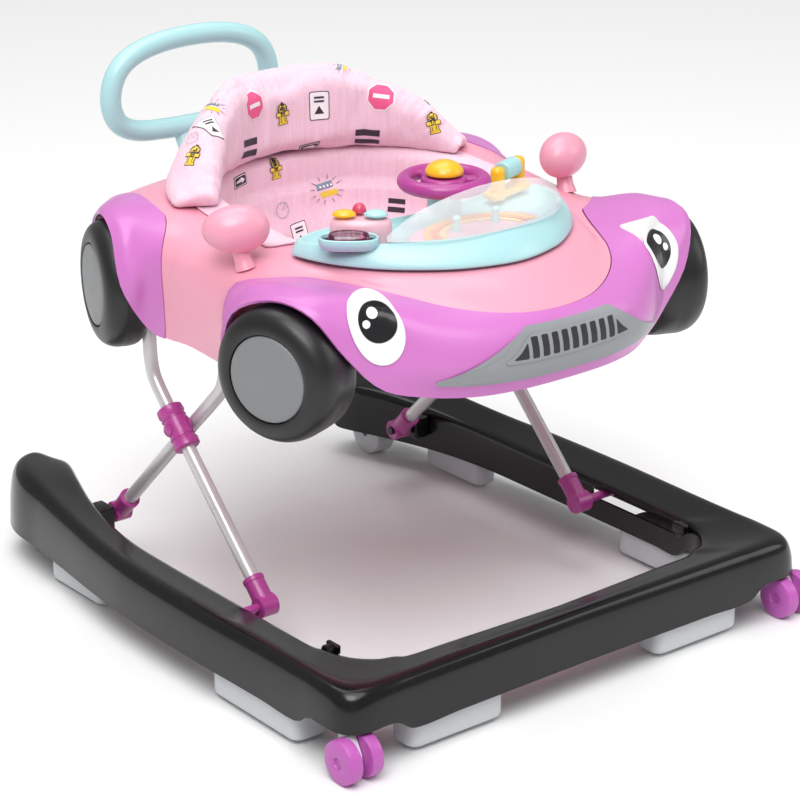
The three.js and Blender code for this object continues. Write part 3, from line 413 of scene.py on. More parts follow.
def skin(u, v):
    rings = column_points(u)
    j = min(int(v), LIP - 1)
    pick = lambda k: rings[min(max(k, 0), LIP)]
    return hermite(pick(j - 1), pick(j), pick(j + 1), pick(j + 2), v - j)


def skin_normal(u, v):
    e = 0.02
    across = skin(u + e, v) - skin(u - e, v)
    down = skin(u, min(v + e, LIP)) - skin(u, max(v - e, 0))
    n = -np.cross(across, down)
    return n / np.linalg.norm(n)


def fender_line(kind, u):
    start, end, corner = kind
    w = min(max(1 - min(u - start, end - u) / corner, 0), 1)
    return LINE + (LIP - LINE) * (1 - math.sqrt(1 - w * w))


def fender_columns(kind, middle, ends=14):
    start, end, corner = kind
    bend = corner * (1 - np.cos(np.linspace(0, math.pi / 2, ends + 1)))[1:]
    return np.r_[start + bend[:-1], np.linspace(start + corner, end - corner, middle + 1),
                 (end - bend[:-1])[::-1]]


def moulding(columns, upper, lower, steps, wall=3.0, lift=0.0, loop=False):
    """A moulded shell: the skin between two lines, with its wall inwards and closed edges."""
    rings = []
    for u in columns:
        top, low = upper(u), lower(u)
        ease = 0.5 - 0.5 * np.cos(np.linspace(0, math.pi, steps + 1))
        vs = top + (low - top) * (0.35 * ease + 0.65 * np.linspace(0, 1, steps + 1))
        outside, inside = [], []
        for v in vs:
            p, n = skin(u, v), skin_normal(u, v)
            outside.append(p + lift * n)
            inside.append(p - (wall - lift) * n)
        rings.append([*outside, (outside[-1] + inside[-1]) / 2, *inside[::-1]])
    return grid(rings, along=loop)


# ---------- Materials ----------
BLACK = (0.0032, 0.0028, 0.0038)
PINK = (0.80, 0.335, 0.44)
ORCHID = (0.58, 0.17, 0.51)
TEAL = (0.40, 0.67, 0.69)
MAGENTA = (0.42, 0.045, 0.27)
CASTER = (0.47, 0.095, 0.42)
YELLOW = (0.93, 0.47, 0.012)

pink = plastic("moulded_pink", PINK, 0.34, 0.25)
orchid = plastic("moulded_orchid", ORCHID, 0.36, 0.25)
teal = plastic("moulded_teal", TEAL, 0.34, 0.25)
magenta = plastic("moulded_magenta", MAGENTA, 0.34, 0.25)
caster_purple = plastic("caster_purple", CASTER, 0.38, 0.15)
yellow = plastic("moulded_yellow", YELLOW, 0.3, 0.3)
orange = plastic("moulded_orange", (0.90, 0.25, 0.02), 0.35, 0.2)
pale_yellow = plastic("moulded_pale_yellow", (0.90, 0.66, 0.18), 0.35, 0.2)
pale_pink = plastic("moulded_pale_pink", (0.84, 0.50, 0.58), 0.34, 0.25)
red = plastic("moulded_red", (0.60, 0.06, 0.13), 0.28, 0.35)
white = plastic("moulded_white", (0.82, 0.82, 0.83), 0.35, 0.2)
pad_grey = plastic("pad_grey", (0.57, 0.59, 0.61), 0.5, 0.05, grain=0.00008)
tyre_black = plastic("tyre_black", (0.006, 0.006, 0.007), 0.42, 0.12, grain=0.00008)
cap_grey = plastic("cap_grey", (0.205, 0.212, 0.22), 0.46, 0.05, grain=0.00007)
grille_grey = plastic("grille_grey", (0.27, 0.285, 0.30), 0.42, 0.1)
# Near-black for the grille slots: painted shade standing in for the slot openings.
dark = plastic("painted_recess_shade", (0.02, 0.02, 0.024), 0.5, 0.0)


def gloss_black():
    """Injection-moulded gloss black with faint flow marks and dust in the gloss."""
    n = Nodes("gloss_black")
    dust = n.noise(160, 4)
    haze = n.noise(5, 3)
    n.set(color=n.mix(n.range(dust, 0.55, 0.8, 0, 0.5), (*BLACK, 1), (0.016, 0.014, 0.018, 1)),
          rough=n.range(haze, 0.3, 0.7, 0.15, 0.26), coat=0.2, coat_rough=0.06, specular=0.35)
    n.bump(n.noise(14, 2), 0.25, 0.0006)
    return n.material


def painted_steel():
    n = Nodes("painted_steel")
    drift = n.noise(18, 3)
    n.set(color=n.mix(drift, (0.60, 0.575, 0.59, 1), (0.70, 0.68, 0.69, 1)), metal=0.35,
          rough=n.range(drift, 0.3, 0.7, 0.26, 0.36), coat=0.2, coat_rough=0.15)
    n.bump(n.noise(1400, 2), 0.3, 0.00003)
    return n.material


def frosted():
    """Frosted clear screen."""
    n = Nodes("frosted_clear")
    cloud = n.noise(40, 3)
    n.set(color=(0.93, 0.95, 0.96, 1), rough=n.range(cloud, 0.3, 0.7, 0.2, 0.34), alpha=0.28, coat=0.3,
          coat_rough=0.1, specular=0.7)
    n.bump(n.noise(500, 2), 0.3, 0.00004)
    return n.material


def berry():
    """Translucent berry window with beads seen through it."""
    n = Nodes("berry_clear")
    beads = n.add("TexVoronoi", {"Scale": 210.0, "Vector": n.coords()}, feature="F1").outputs["Distance"]
    n.set(color=n.mix(n.range(beads, 0.15, 0.55, 0, 1), (0.34, 0.03, 0.13, 1), (0.07, 0.004, 0.03, 1)),
          rough=0.1, coat=0.6, coat_rough=0.04)
    n.bump(n.noise(60, 2), 0.2, 0.0003)
    return n.material


black = gloss_black()
steel = painted_steel()
screen = frosted()
bead_clear = berry()


# ---------- Floor base ----------
def rail_stations():
    t, b, c = 95, 38, 51
    return [
        ((0, -292), (0, -345), t, b), ((80, -289), (90, -346), t, b), ((150, -286), (180, -347), t, b),
        ((200, -284), (242, -348), t, b), ((214, -281), (264, -348), t, c), ((230, -275), (299, -347), t, c),
        ((242, -265), (316, -341), t, c), ((251, -254), (325, -328), t, c), ((258, -238), (327, -305), t, c),
        ((262, -222), (327, -282), t, c), ((263, -206), (327, -262), t, b), ((264, -170), (327, -200), t, b),
        ((264, -60), (330, -60), t, b), ((264, 60), (328, 60), t, b),
        ((263, 130), (321, 140), t + 1, b), ((257, 190), (313, 210), t + 5, b),
        ((244, 250), (306, 278), t + 11, b), ((226, 305), (300, 338), 112, b),
        ((212, 342), (278, 380), 112, b), ((206, 364), (246, 396), 107, b),
        ((205, 374), (221, 393), 94, b + 4)]


def base_shell():
    half = [(*i, *o, t, b) for i, o, t, b in rail_stations()]
    fine = curve(half, 150)
    full = np.concatenate([(fine * (-1, 1, -1, 1, 1, 1))[:0:-1], fine])
    profile = curve([(0, 0), (0.004, 0.06), (0.018, 0.4), (0.05, 0.7), (0.1, 0.88), (0.17, 0.965),
                     (0.26, 0.995),
                     (0.34, 0.985), (0.5, 0.94), (0.7, 0.885), (0.88, 0.84), (0.95, 0.81), (0.985, 0.76),
                     (0.997, 0.68), (1, 0.4), (1, 0)], 44)
    rings = []
    for ix, iy, ox, oy, top, low in full:
        width = math.hypot(ix - ox, iy - oy)
        ring = [(k * width, low + h * (top - low)) for k, h in profile]
        inner = [(3.5 + (s / width) * (width - 7), low + (z - low) * (top - low - 3.5) / (top - low))
                 for s, z in ring]
        rings.append([(ox + (ix - ox) * s / width, oy + (iy - oy) * s / width, z)
                      for s, z in ring + inner[::-1]])
    piece = build("base", grid(rings), black, "base", "base_shell", smooth=40)
    for side, sign in SIDES:
        ring = rounded([(-60, 64.5), (-60, 79.5), (-214, 79.5), (-214, 64.5)], 7.4, 6)
        rings = [[(sign * x, y, z) for y, z in ring] for x in (252, 275)]
        points, faces = grid(rings)
        tool = build("slot_tool_" + side, (points, faces), black, None)
        cut = piece.modifiers.new("slot", "BOOLEAN")
        cut.object, cut.operation, cut.solver = tool, "DIFFERENCE", "EXACT"
        apply_all(piece)
        bpy.data.objects.remove(tool)
    shade(piece, 40)


def apply_all(piece):
    """Writes the modified shape into the mesh."""
    shape = bpy.data.meshes.new_from_object(piece.evaluated_get(bpy.context.evaluated_depsgraph_get()))
    old = piece.data
    piece.modifiers.clear()
    piece.data = shape
    bpy.data.meshes.remove(old)


def base_fittings():
    def side(name, sign, flip):
        for node, (x0, x1), (y0, y1) in (("pad_front_", (110, 236), (-338, -298)),
                                         ("pad_rail_", (269, 321), (-252, -98)),
                                         ("pad_tail_", (266, 299), (152, 262))):
            outline = rounded([(x0, y0), (x1, y0), (x1, y1), (x0, y1)], 15, 8)
            build(node + name + "_look", flip(slab(outline, 5, 46, 5, 5)), pad_grey, "base", node + name)
        ends = [(-226, 229), (-247.8, 229), (-243.3, 250), (-240.6, 257.5), (-226, 257.5)]
        block = slab(rounded([(-x, y) for x, y in ends], 3), 57, 85, 2)
        build("foot_bracket_look_" + name, flip(merge(block, lathe(
            [(0, 44), (4, 44), (5, 43), (5, 0), (0, 0)], (196, 244, 72), ACROSS, 28))), black, "base",
            "foot_bracket_" + name)
        knob = lathe([(0, 0), (6.5, 0), (8, 1.5), (8, 10.5), (6.5, 12), (0, 12)], (248, -222, 80), ACROSS, 36)
        lever = slab(rounded([(247, -234), (253, -234), (253, -214), (247, -214)], 2.6), 79, 89, 1.5)
        build("slot_stop_look_" + name, flip(merge(knob, lever)), black, "base", "slot_stop_" + name)
        wheel(name, flip)
        roller(name, flip)
    pair(side)


def wheel(name, flip):
    """Twin caster: two dished discs on a sleeve, and the fork between them."""
    half = [(0, 5.9), (7, 5.9), (22, 5.9), (23.6, 6.6), (24, 8), (24, 18.4), (23.3, 20.2), (21.4, 21.2),
            (12, 21.9), (7.2, 21.9), (6.4, 21.3), (5.6, 19.2), (0, 19.2)]
    discs = [lathe([(r, s * h) for r, h in half], CASTER_AXLE, ACROSS, 56) for s in (1, -1)]
    sleeve = lathe([(0, -7), (7, -7), (7, 7), (0, 7)], CASTER_AXLE, ACROSS, 24)
    build("caster_wheels_look_" + name, flip(merge(*discs, sleeve)), caster_purple, "caster_wheels_" + name,
          "caster_wheel_" + name, smooth=38)
    outline = rounded([(-348, 15), (-345, 30), (-334, 48), (-319, 48), (-320, 34), (-330, 15)], 4, 5)
    body = grid([[(x, y, z) for y, z in outline] for x in (306.8, 307.6, 316.4, 317.2)])
    stem = lathe([(0, 0), (5, 0), (5, 33), (4, 34), (0, 34)], (312, -328, 44), UP, 24)
    build("caster_fork_look_" + name, flip(merge(body, stem)), white, "caster_" + name, "caster_fork_" + name,
          bevel=0.7)


def roller(name, flip):
    """Fluted rear roller."""
    rings = []
    for r, x in ((4.4, 15), (23, 15), (26.5, 14.2), (28, 12.5), (28, -12.5), (26.5, -14.2), (23, -15),
                 (4.4, -15)):
        ring = []
        for k in range(96):
            a = TURN * k / 96
            groove = 0.9 * max(0.0, math.cos(12 * a)) ** 6 if r > 26 else 0
            ring.append((250 + x, 346 + (r - groove) * math.cos(a), 28 + (r - groove) * math.sin(a)))
        rings.append(ring)
    build("rear_roller_look_" + name, flip(grid(rings, along=True)), pad_grey, "roller_" + name,
          "rear_roller_" + name, smooth=45)


# ---------- Legs ----------
OUTER = [(-69, 79), (24, 171), (84, 230), (112, 258), (129, 278), (135, 298), (137, 325), (142, 345),
         (150, 365)]
INNER = [(237, 79), (144, 171), (84, 230), (44, 269), (26, 289), (19, 310), (18, 335), (18, 365)]


def leg(line, x):
    path = curve([(x, y, z) for y, z in line], 90)
    top = lathe([(0, -8), (7.2, -8), (8, -7.2), (8, 7.2), (7.2, 8), (0, 8)], (x, *line[-1]), ACROSS, 32)
    return merge(sweep(path, 8.0, 28, up=ACROSS), top)


def foot(x, y, direction, outwards):
    """Moulded foot: sleeve on the tube, round pivot head and its screw."""
    d = Vector((0, *direction)).normalized()
    start = Vector((x, y, 72))
    sleeve = lathe([(0, 0), (11.3, 0), (11.5, 6), (11.5, 28), (12.3, 29), (12.3, 33), (11.4, 34.2),
                    (8.5, 34.2),
                    (8.5, 32), (0, 32)], start, d, 40)
    head = lathe([(0, -10.6), (6, -10.6), (6.6, -11), (11, -11), (12.5, -9.6), (12.5, 9.6), (11, 11),
                  (6.6, 11),
                  (6, 10.2), (0, 10.2)], start, ACROSS, 44)
    pin = lathe([(0, 0), (5, 0), (5, outwards), (0, outwards)], start + Vector((5, 0, 0)), ACROSS, 24)
    return merge(sleeve, head, pin)


def legs():
    def side(name, sign, flip):
        build("outer_tube_look_" + name, flip(leg(OUTER, 230)), steel, "outer_frame_" + name,
              "outer_tube_" + name)
        build("inner_tube_look_" + name, flip(merge(leg(INNER, 210), lathe(
            [(0, 0), (4, 0), (4, 24), (0, 24)], (188, 18, 365), ACROSS, 20))), steel, "inner_frame_" + name,
            "inner_tube_" + name)
        build("outer_foot_look_" + name, flip(foot(230, -76, (1, 1), 50)), magenta, "outer_frame_" + name,
              "outer_foot_" + name)
        build("inner_foot_look_" + name, flip(foot(210, 244, (-1, 1), 4)), magenta, "inner_frame_" + name,
              "inner_foot_" + name)
        d = (0, 1, 0.985)
        barrel = lathe([(8.6, -26), (13.2, -26), (15, -24.6), (15.4, -17.5), (14, -15.5), (13.6, -8),
                        (13.6, 8),
                        (14, 15.5), (15.4, 17.5), (15, 24.6), (13.2, 26), (8.6, 26)], HUB, d, 48)
        ribs = [lathe([(13, k - 1), (14.6, k - 0.6), (14.6, k + 0.6), (13, k + 1)], HUB, d, 48)
                for k in (-12, 12)]
        rivet = lathe([(0, 0), (7.5, 0), (7.2, 2), (5.6, 3.4), (0, 3.8)], (242.8, 84, 230), ACROSS, 32)
        flange = lathe([(0, 0), (12.5, 0), (13, -1), (13, -2.4), (0, -2.4)], (222, 84, 230), ACROSS, 40)
        build("hub_clamp_look_" + name, flip(merge(barrel, *ribs, rivet, flange)), magenta,
              "outer_frame_" + name, "hub_clamp_" + name, smooth=40)
    pair(side)


# ---------- Car body ----------
def car_body():
    lines = {"front": FRONT_FENDER, "rear": REAR_FENDER}
    gap = 0.012

    def body_edge(u):
        c = AROUND - u if u > HALF else u
        for kind in lines.values():
            if kind[0] < c < kind[1]:
                return fender_line(kind, c) - gap
        return LIP

    front, rear = fender_columns(FRONT_FENDER, 60), fender_columns(REAR_FENDER, 26)
    half = np.r_[front[front >= 0], FRONT_FENDER[1], np.linspace(10.2, 11.4, 8), REAR_FENDER[0], rear,
                 REAR_FENDER[1], np.linspace(17.45, HALF, 14)]
    columns = np.r_[half, AROUND - half[1:-1][::-1]]
    build("body_look", moulding(columns, lambda u: 0, body_edge, 44, loop=True), pink, "tray", "body_shell",
          smooth=50)
    upper = lambda kind: (lambda u: min(fender_line(kind, u) + gap, LIP - 0.06))
    build("front_fender_look", moulding(front, upper(FRONT_FENDER), lambda u: LIP, 34, lift=1.2), orchid,
          "tray", "front_fender", smooth=50)
    tail = moulding(rear, upper(REAR_FENDER), lambda u: LIP, 30, lift=1.2)
    pair(lambda name, sign, flip: build("rear_fender_look_" + name, flip(tail), orchid, "tray",
                                        "rear_fender_" + name, smooth=50))


def mounted(kind, profile, segments=96):
    """A turned piece on a decor wheel's axis; heights run outwards from the hubcap's face."""
    x, y, z, toe = kind
    axis = (math.cos(math.radians(toe)), -math.sin(math.radians(toe)), 0)
    return lathe(profile, (x, y, z), axis, segments)


def decor_wheels():
    front, rear = (293, -173.5, 376, 17.8), (273, 181, 381, -18)

    def side(name, sign, flip):
        for end, kind, width, taper in (("front", front, 70, 5), ("rear", rear, 46, 0)):
            tyre = curve([(46.6, -5), (46.8, -0.6), (48.4, 0.5), (53, 0.4), (59.5, -1.4), (65.5, -5.4),
                          (69.8, -12),
                          (71.8, -20), (72, -26), (72 - taper / 3, 14 - width), (70.4 - taper, 6 - width),
                          (67.5 - taper, 2.2 - width), (64.4 - taper, 0.2 - width), (62 - taper, 1.5 - width),
                          (59, 9 - width), (58, -9)], 64)
            groove = [(r - 0.7 * math.exp(-((h + width / 2) / 0.9) ** 2) * (r > 70), h) for r, h in tyre]
            build(f"tyre_look_{end}_{name}", flip(mounted(kind, [(0, -6), *groove, (0, -9)])), tyre_black,
                  "tray", f"tyre_{end}_{name}", smooth=50)
            cap = [(0, 1.6), (20, 1.5), (38, 1.2), (43.4, 0.8), (44.8, 0.2), (45.6, -1), (45.9, -4.4),
                   (0, -4.4)]
            build(f"hubcap_look_{end}_{name}", flip(mounted(kind, cap)), cap_grey, "tray",
                  f"hubcap_{end}_{name}")
    pair(side)


def push_handle():
    half = [(0, 477), (42, 478), (80, 482), (104, 494), (114, 516), (112, 540), (101, 560), (80, 574),
            (46, 583),
            (0, 586)]
    ring = half + [(-x, z) for x, z in half[-2:0:-1]]
    loop = curve([(x, 380, z) for x, z in ring], 130, closed=True)
    neck = [(0, 380, 473, 27, 11), (0, 373, 458, 26, 12), (0, 357, 436, 26, 13), (0, 335, 415, 27, 14),
            (0, 309, 402, 29, 15)]
    rings = []
    line = curve(neck, 26)
    for i, (x, y, z, wide, thick) in enumerate(line):
        a, b = line[max(i - 1, 0)], line[min(i + 1, len(line) - 1)]
        dy, dz = (b[1] - a[1], b[2] - a[2]) if i < len(line) - 1 else (-1, 0)
        size = math.hypot(dy, dz)
        up = (-dz / size, dy / size)
        rings.append([(x + wide * math.copysign(abs(math.cos(t)) ** 0.75, math.cos(t)),
                       y + up[0] * thick * math.sin(t), z + up[1] * thick * math.sin(t))
                      for t in round_steps(40)])
    build("handle_look", merge(sweep(loop, 12.5, 32, closed=True), grid(rings)), teal, "tray", "push_handle")


def mirrors():
    def side(name, sign, flip):
        rings = []
        for t in np.linspace(0, math.pi, 30):
            r, h = math.sin(t), -math.cos(t)
            rings.append([(36 * r * math.cos(a), 25.5 * h, 25.5 * r * math.sin(a) * (1 - 0.06 * math.cos(a)))
                          for a in round_steps(56)])
        points, faces = grid(rings[1:-1])
        turn = 0.46
        points = [(229 + x * math.cos(turn) - y * math.sin(turn),
                   -34 + x * math.sin(turn) + y * math.cos(turn),
                   489 + z) for x, y, z in points]
        stem = sweep(curve([(225, -45, 447), (226, -42, 456), (227.5, -38, 468), (229, -34, 480)], 24),
                     np.interp(np.linspace(0, 1, 24), [0, 0.3, 1], [12.5, 9.5, 8]), 32, up=ACROSS)
        build("mirror_look_" + name, flip(merge((points, faces), stem)), pink, "tray", "mirror_" + name,
              smooth=60)
    pair(side)


def find_skin(x, z, u=4.0, v=4.5):
    """Column and ring of the front skin point with that x and z."""
    for _ in range(30):
        p = skin(u, v)
        du = (skin(u + 0.01, v) - p)[[0, 2]] / 0.01
        dv = (skin(u, v + 0.01 if v < 5.9 else v - 0.01) - p)[[0, 2]] / (0.01 if v < 5.9 else -0.01)
        step = np.linalg.solve(np.stack([du, dv], axis=1), np.array([x, z]) - p[[0, 2]])
        u += float(np.clip(step[0], -1, 1))
        v = float(np.clip(v + np.clip(step[1], -0.6, 0.6), 3.02, 5.99))
    return u, v


def eye_material():
    """Printed eye: white oval, black pupil and two highlights, by the disc's own UV."""
    n = Nodes("printed_eye")
    uv = n.add("UVMap", uv_map="print").outputs[0]
    split = n.add("SeparateXYZ", {0: uv})
    x, y = split.outputs[0], split.outputs[1]

    def blob(cx, cy, rx, ry):
        a = n.math("DIVIDE", n.math("SUBTRACT", x, cx), rx)
        b = n.math("DIVIDE", n.math("SUBTRACT", y, cy), ry)
        d = n.math("ADD", n.math("MULTIPLY", a, a), n.math("MULTIPLY", b, b))
        return n.range(d, 0.96, 1.04, 1, 0)

    color = n.mix(blob(*PUPIL), (0.86, 0.86, 0.86, 1), (0.006, 0.006, 0.008, 1))
    for spot in HIGHLIGHTS:
        color = n.mix(blob(*spot), color, (0.9, 0.9, 0.9, 1))
    n.set(color=color, rough=n.range(n.noise(30, 2), 0.3, 0.7, 0.16, 0.24), coat=0.4, coat_rough=0.06)
    n.bump(n.noise(700, 2), 0.3, 0.00003)
    return n.material


EYE = {"centre": (197.2, -228.5, 426.9), "normal": (0.363, -0.88, 0.307), "half": (27.5, 41.0), "lean": 0.42}
PUPIL = (0.571, 0.544, 0.364, 0.272)
HIGHLIGHTS = ((0.571, 0.672, 0.109, 0.073), (0.364, 0.586, 0.078, 0.052))


def surface_tree(*names):
    """One tree over several pieces' own meshes."""
    work = bmesh.new()
    for name in names:
        work.from_mesh(bpy.data.objects[name].data)
    tree = BVHTree.FromBMesh(work)
    work.free()
    return tree


def eyes():
    print_look = eye_material()
    tree = surface_tree("body_look", "front_fender_look")
    normal = Vector(EYE["normal"]).normalized()
    centre = Vector(EYE["centre"])
    up = (Vector((0, 0, 1)) - normal * normal.z).normalized()
    side = normal.cross(up)
    lean = EYE["lean"]
    minor, major = side * math.cos(lean) + up * math.sin(lean), up * math.cos(lean) - side * math.sin(lean)
    rows, spokes = 14, 88

    def lay(a, b, lift):
        flat = at(*(centre + minor * a * EYE["half"][0] + major * b * EYE["half"][1]))
        hit, _, _, _ = tree.ray_cast(flat + normal * 0.05, -normal, 0.12)
        deep = (hit - flat).dot(normal) if hit else -0.003
        spot = flat + normal * ((deep if lift < 1 else max(deep, -0.0045)) + lift * 0.001)
        return spot.x * 1000, spot.y * 1000 + MIDDLE_Y, spot.z * 1000

    points, flat = [], []
    for i in range(rows + 2):
        for k in range(spokes):
            r, t = min(i, rows) / rows, TURN * k / spokes
            edge = 1 + 0.035 * math.cos(2 * (t - 0.75))
            under = 0.93 if i > rows else 1.0
            a, b = under * r * edge * math.cos(t), under * r * edge * math.sin(t)
            points.append(lay(a, b, 0.1 if i > rows else 2.0 - 0.9 * r**16))
            flat.append((0.5 + a / 2, 0.5 + b / 2))
    faces = [(i * spokes + k, i * spokes + (k + 1) % spokes, (i + 1) * spokes + (k + 1) % spokes,
              (i + 1) * spokes + k) for i in range(rows + 1) for k in range(spokes)]
    for name, sign in SIDES:
        shown = [(sign * x, y, z) for x, y, z in points]
        piece = build("eye_look_" + name, (shown, faces), print_look, "tray", "eye_" + name, 60)
        layer = piece.data.uv_layers.new(name="print")
        for loop in piece.data.loops:
            layer.data[loop.index].uv = flat[loop.vertex_index]


def grille():
    """Smile-shaped grey plate with a recessed band of upright slots over a solid lower lip; the slots are
    near-black plates laid on the band, painted shade standing in for the openings.
    """
    outline = [(0, 414), (56, 414), (66, 409), (76, 401.5), (88, 392), (106, 385), (128, 377.5), (147, 370),
               (150.5, 367), (147, 364.5), (120, 363.5), (60, 361.5), (0, 361)]
    full = rounded(outline[:-1] + [(-x, z) for x, z in outline[::-1][:-1]], 3, 3)
    mouth = rounded([(0, 407), (54, 407), (61, 403), (70, 395), (78, 389), (88, 384), (80, 382), (0, 381),
                     (-80, 382), (-88, 384), (-78, 389), (-70, 395), (-61, 403), (-54, 407)], 2, 3)

    def plate(shape, low, high):
        work = bmesh.new()
        ring = [work.verts.new((x, 0, z)) for x, z in shape]
        work.faces.new(ring)
        bmesh.ops.triangulate(work, faces=work.faces)
        for _ in range(3):
            bmesh.ops.subdivide_edges(work, edges=[e for e in work.edges if e.calc_length() > 9], cuts=1)
            bmesh.ops.triangulate(work, faces=work.faces)
        points = [tuple(v.co) for v in work.verts]
        faces = [tuple(v.index for v in f.verts) for f in work.faces]
        edges = [e for e in work.edges if e.is_boundary]
        rim = [(e.verts[0].index, e.verts[1].index) for e in edges]
        work.free()
        spots = [find_skin(abs(x), z, 0.5 + abs(x) / 40, 5.0) for x, _, z in points]
        lifted = []
        for (x, _, z), (u, v) in zip(points, spots):
            p, n = skin(u, v), skin_normal(u, v)
            lifted.append(((math.copysign(1, x) * p[0], p[1], p[2]),
                           (math.copysign(1, x) * n[0], n[1], n[2])))
        top = [tuple(np.array(p) + high * np.array(n)) for p, n in lifted]
        under = [tuple(np.array(p) + low * np.array(n)) for p, n in lifted]
        count = len(top)
        return (top + under, faces + [tuple(i + count for i in f[::-1]) for f in faces]
                + [(a, b, b + count, a + count) for a, b in rim])

    bars = []
    for x in np.linspace(-52, 52, 9):
        half = 4.1
        bars.append(rounded([(x - half, 384.4), (x + half, 384.4), (x + half, 404.6), (x - half, 404.6)],
                            1.6, 3))
    for s in (1, -1):
        bars.append(rounded([(s * 60.5, 384.8), (s * 78, 385.6), (s * 69, 391.6), (s * 60.5, 400)], 1.6, 3))
    build("grille_look", plate(full, 0.2, 3.2), grille_grey, "tray", "grille", smooth=40,
          bevel=0.8)
    build("grille_band", plate(mouth, 3.0, 4.2), grille_grey, "tray", smooth=40, bevel=0.4)
    # Slot plates in near-black laid over the band: painted shade where the real slots are openings.
    painted_slot_shade = merge(*[plate(b, 4.0, 4.45) for b in bars])
    build("grille_painted_slot_shade", painted_slot_shade, dark, "tray", smooth=40)


# ---------- Toy tray ----------
BEAD_AXIS = (0.782824, -0.622245, 0)
BEAD = (-148, -122, 481)


def toy_tray():
    front = [(0, -226), (60, -212), (100, -188), (134, -157), (160, -119), (173, -84), (177, -62)]
    rear = [(0, -57), (40, -55), (80, -50), (112, -40), (140, -40), (168, -50)]

    def line(inset, front_z, rear_z, shift=0):
        pts = []
        for x, y in front:
            k = (y + 62) / (-226 + 62)
            d = math.hypot(x, y + 60) or 1
            pts.append((x - x / d * inset, y - (y + 60) / d * inset + shift * k,
                        rear_z + (front_z - rear_z) * max(k, 0)))
        arc = curve([(-x, y, z) for x, y, z in pts[:0:-1]] + pts, 120)
        back = [(x - math.copysign(inset * 0.6, x) * (x != 0), y - inset * 0.6, rear_z) for x, y in rear]
        tail = curve(back[::-1] + [(-x, y, z) for x, y, z in back[1:]], 60)
        return np.concatenate([arc, tail])

    levels = [line(3, 455.6, 455.6), line(0.6, 456.6, 456.4), line(0, 459, 458), line(0.8, 465, 461, 3),
              line(2, 470, 463.5, 6), line(4.2, 477, 467, 11), line(6, 481.4, 469.4, 14),
              line(7.4, 483.3, 470.6, 16.5), line(9, 484, 471, 18), line(11.4, 483.8, 471, 18.2),
              line(13, 482.6, 470.6, 18), line(15, 478, 469, 17), line(17, 474, 468, 16),
              line(21, 470, 466, 14)]
    body = grid(spread(levels, 40))
    column = lathe([(0, 0), (24, 0), (22, 4), (19, 20), (17.6, 40), (17, 43.6), (9, 43.6), (9, 53), (0, 53)],
                   (0, -98, 462), UP, 48)
    axis, centre = np.array(BEAD_AXIS), np.array(BEAD, float)
    across = np.array([-axis[1], axis[0], 0])
    collar = []
    for out, z in ((23.5, 474), (26.5, 478), (27.4, 482), (26.8, 485.6), (25.4, 486.6), (24.0, 485.6),
                   (23.4, 482)):
        collar.append([(*(centre + axis * (out + 4.5) * math.copysign(abs(math.cos(t)) ** 0.72, math.cos(t))
                          + across * (out - 9.2) * math.copysign(abs(math.sin(t)) ** 0.8, math.sin(t)))[:2],
                          z)
                       for t in round_steps(72)])
    build("toy_tray_look", merge(body, column, grid(collar, caps=False)), teal, "toy_tray", "toy_tray_base",
          smooth=42)
    barrel = [(0, -22), (5, -21.9), (8.6, -20.6), (10.6, -17.5), (11.8, -12), (12.5, 0), (11.8, 12),
              (10.6, 17.5),
              (8.6, 20.6), (5, 21.9), (0, 22)]
    build("bead_look", lathe(curve([(r, h, 0) for r, h in barrel], 44)[:, :2], BEAD, BEAD_AXIS, 64),
          bead_clear,
          "beads", "bead_roller", smooth=180)

    def tilted(rx, ry, z):
        turn = -0.67
        return [(-118 + rx * math.cos(a) * math.cos(turn) - ry * math.sin(a) * math.sin(turn),
                 -104 + rx * math.cos(a) * math.sin(turn) + ry * math.sin(a) * math.cos(turn), z)
                for a in round_steps(64)]
    pod = grid([tilted(31, 19, 470.5), tilted(32.4, 19.6, 476), tilted(33, 20, 486), tilted(32.5, 19.6, 491),
                tilted(31, 18.5, 494.4), tilted(29, 16.8, 496.3), tilted(26, 14.6, 497), tilted(20, 10, 497)])
    build("console_look", pod, pale_pink, "toy_tray", "console_pod", smooth=50)
    for name, (x, y, r), top, look in (("yellow", (-134, -96, 9), 6, yellow),
                                       ("teal", (-108, -117, 9), 6, teal),
                                       ("red", (-113, -95, 7.5), 9, red)):
        dome = [(0, top), (r * 0.35, top * 0.975), (r * 0.62, top * 0.86), (r * 0.84, top * 0.62), (r * 0.96,
                top * 0.36), (r, 1.6), (r, 0), (r * 0.45, 0), (r * 0.45, -12), (0, -12)]
        points, faces = lathe(dome, (x, y, 500.6), UP, 48)
        if name != "red":
            along, across = np.array([0.784, -0.621, 0]), np.array([0.621, 0.784, 0])
            rel = points - np.array([x, y, 0])
            wide = np.where(points[:, 2:] > 500, 1.4, 1.0)
            points = points + (rel @ along)[:, None] * along * (wide - 1)
        build(f"button_{name}_look", (points, faces), look, f"{name}_push",
              f"button_{name}", smooth=50)


def windscreen():
    """Frosted arc standing on the rim."""
    low = [(0, -203.5, 485.5), (45, -200, 485.2), (80, -188, 484.5), (108, -166, 483.4), (121, -152, 482.6)]
    high = [(0, -181, 530), (30, -180, 528.5), (70, -175, 521), (100, -164, 507), (119, -149, 486.5)]
    low, high = ([(-x, y, z) for x, y, z in side[:0:-1]] + side for side in (low, high))
    low, high = curve(low, 90), curve(high, 90)
    rings = []
    for b, t in zip(low, high):
        back = np.array([-b[0], 120, 60.0])
        back *= 2.2 / np.linalg.norm(back)
        sag = 5 * min(1, (t[2] - b[2]) / 40)
        face = [b + (t - b) * k + np.array([0, -sag * 4 * k * (1 - k), 0]) for k in np.linspace(0, 1, 9)]
        rings.append([*face, *[p + back for p in face[::-1]]])
    build("windscreen_look", grid(rings), screen, "toy_tray", "windshield", smooth=50)


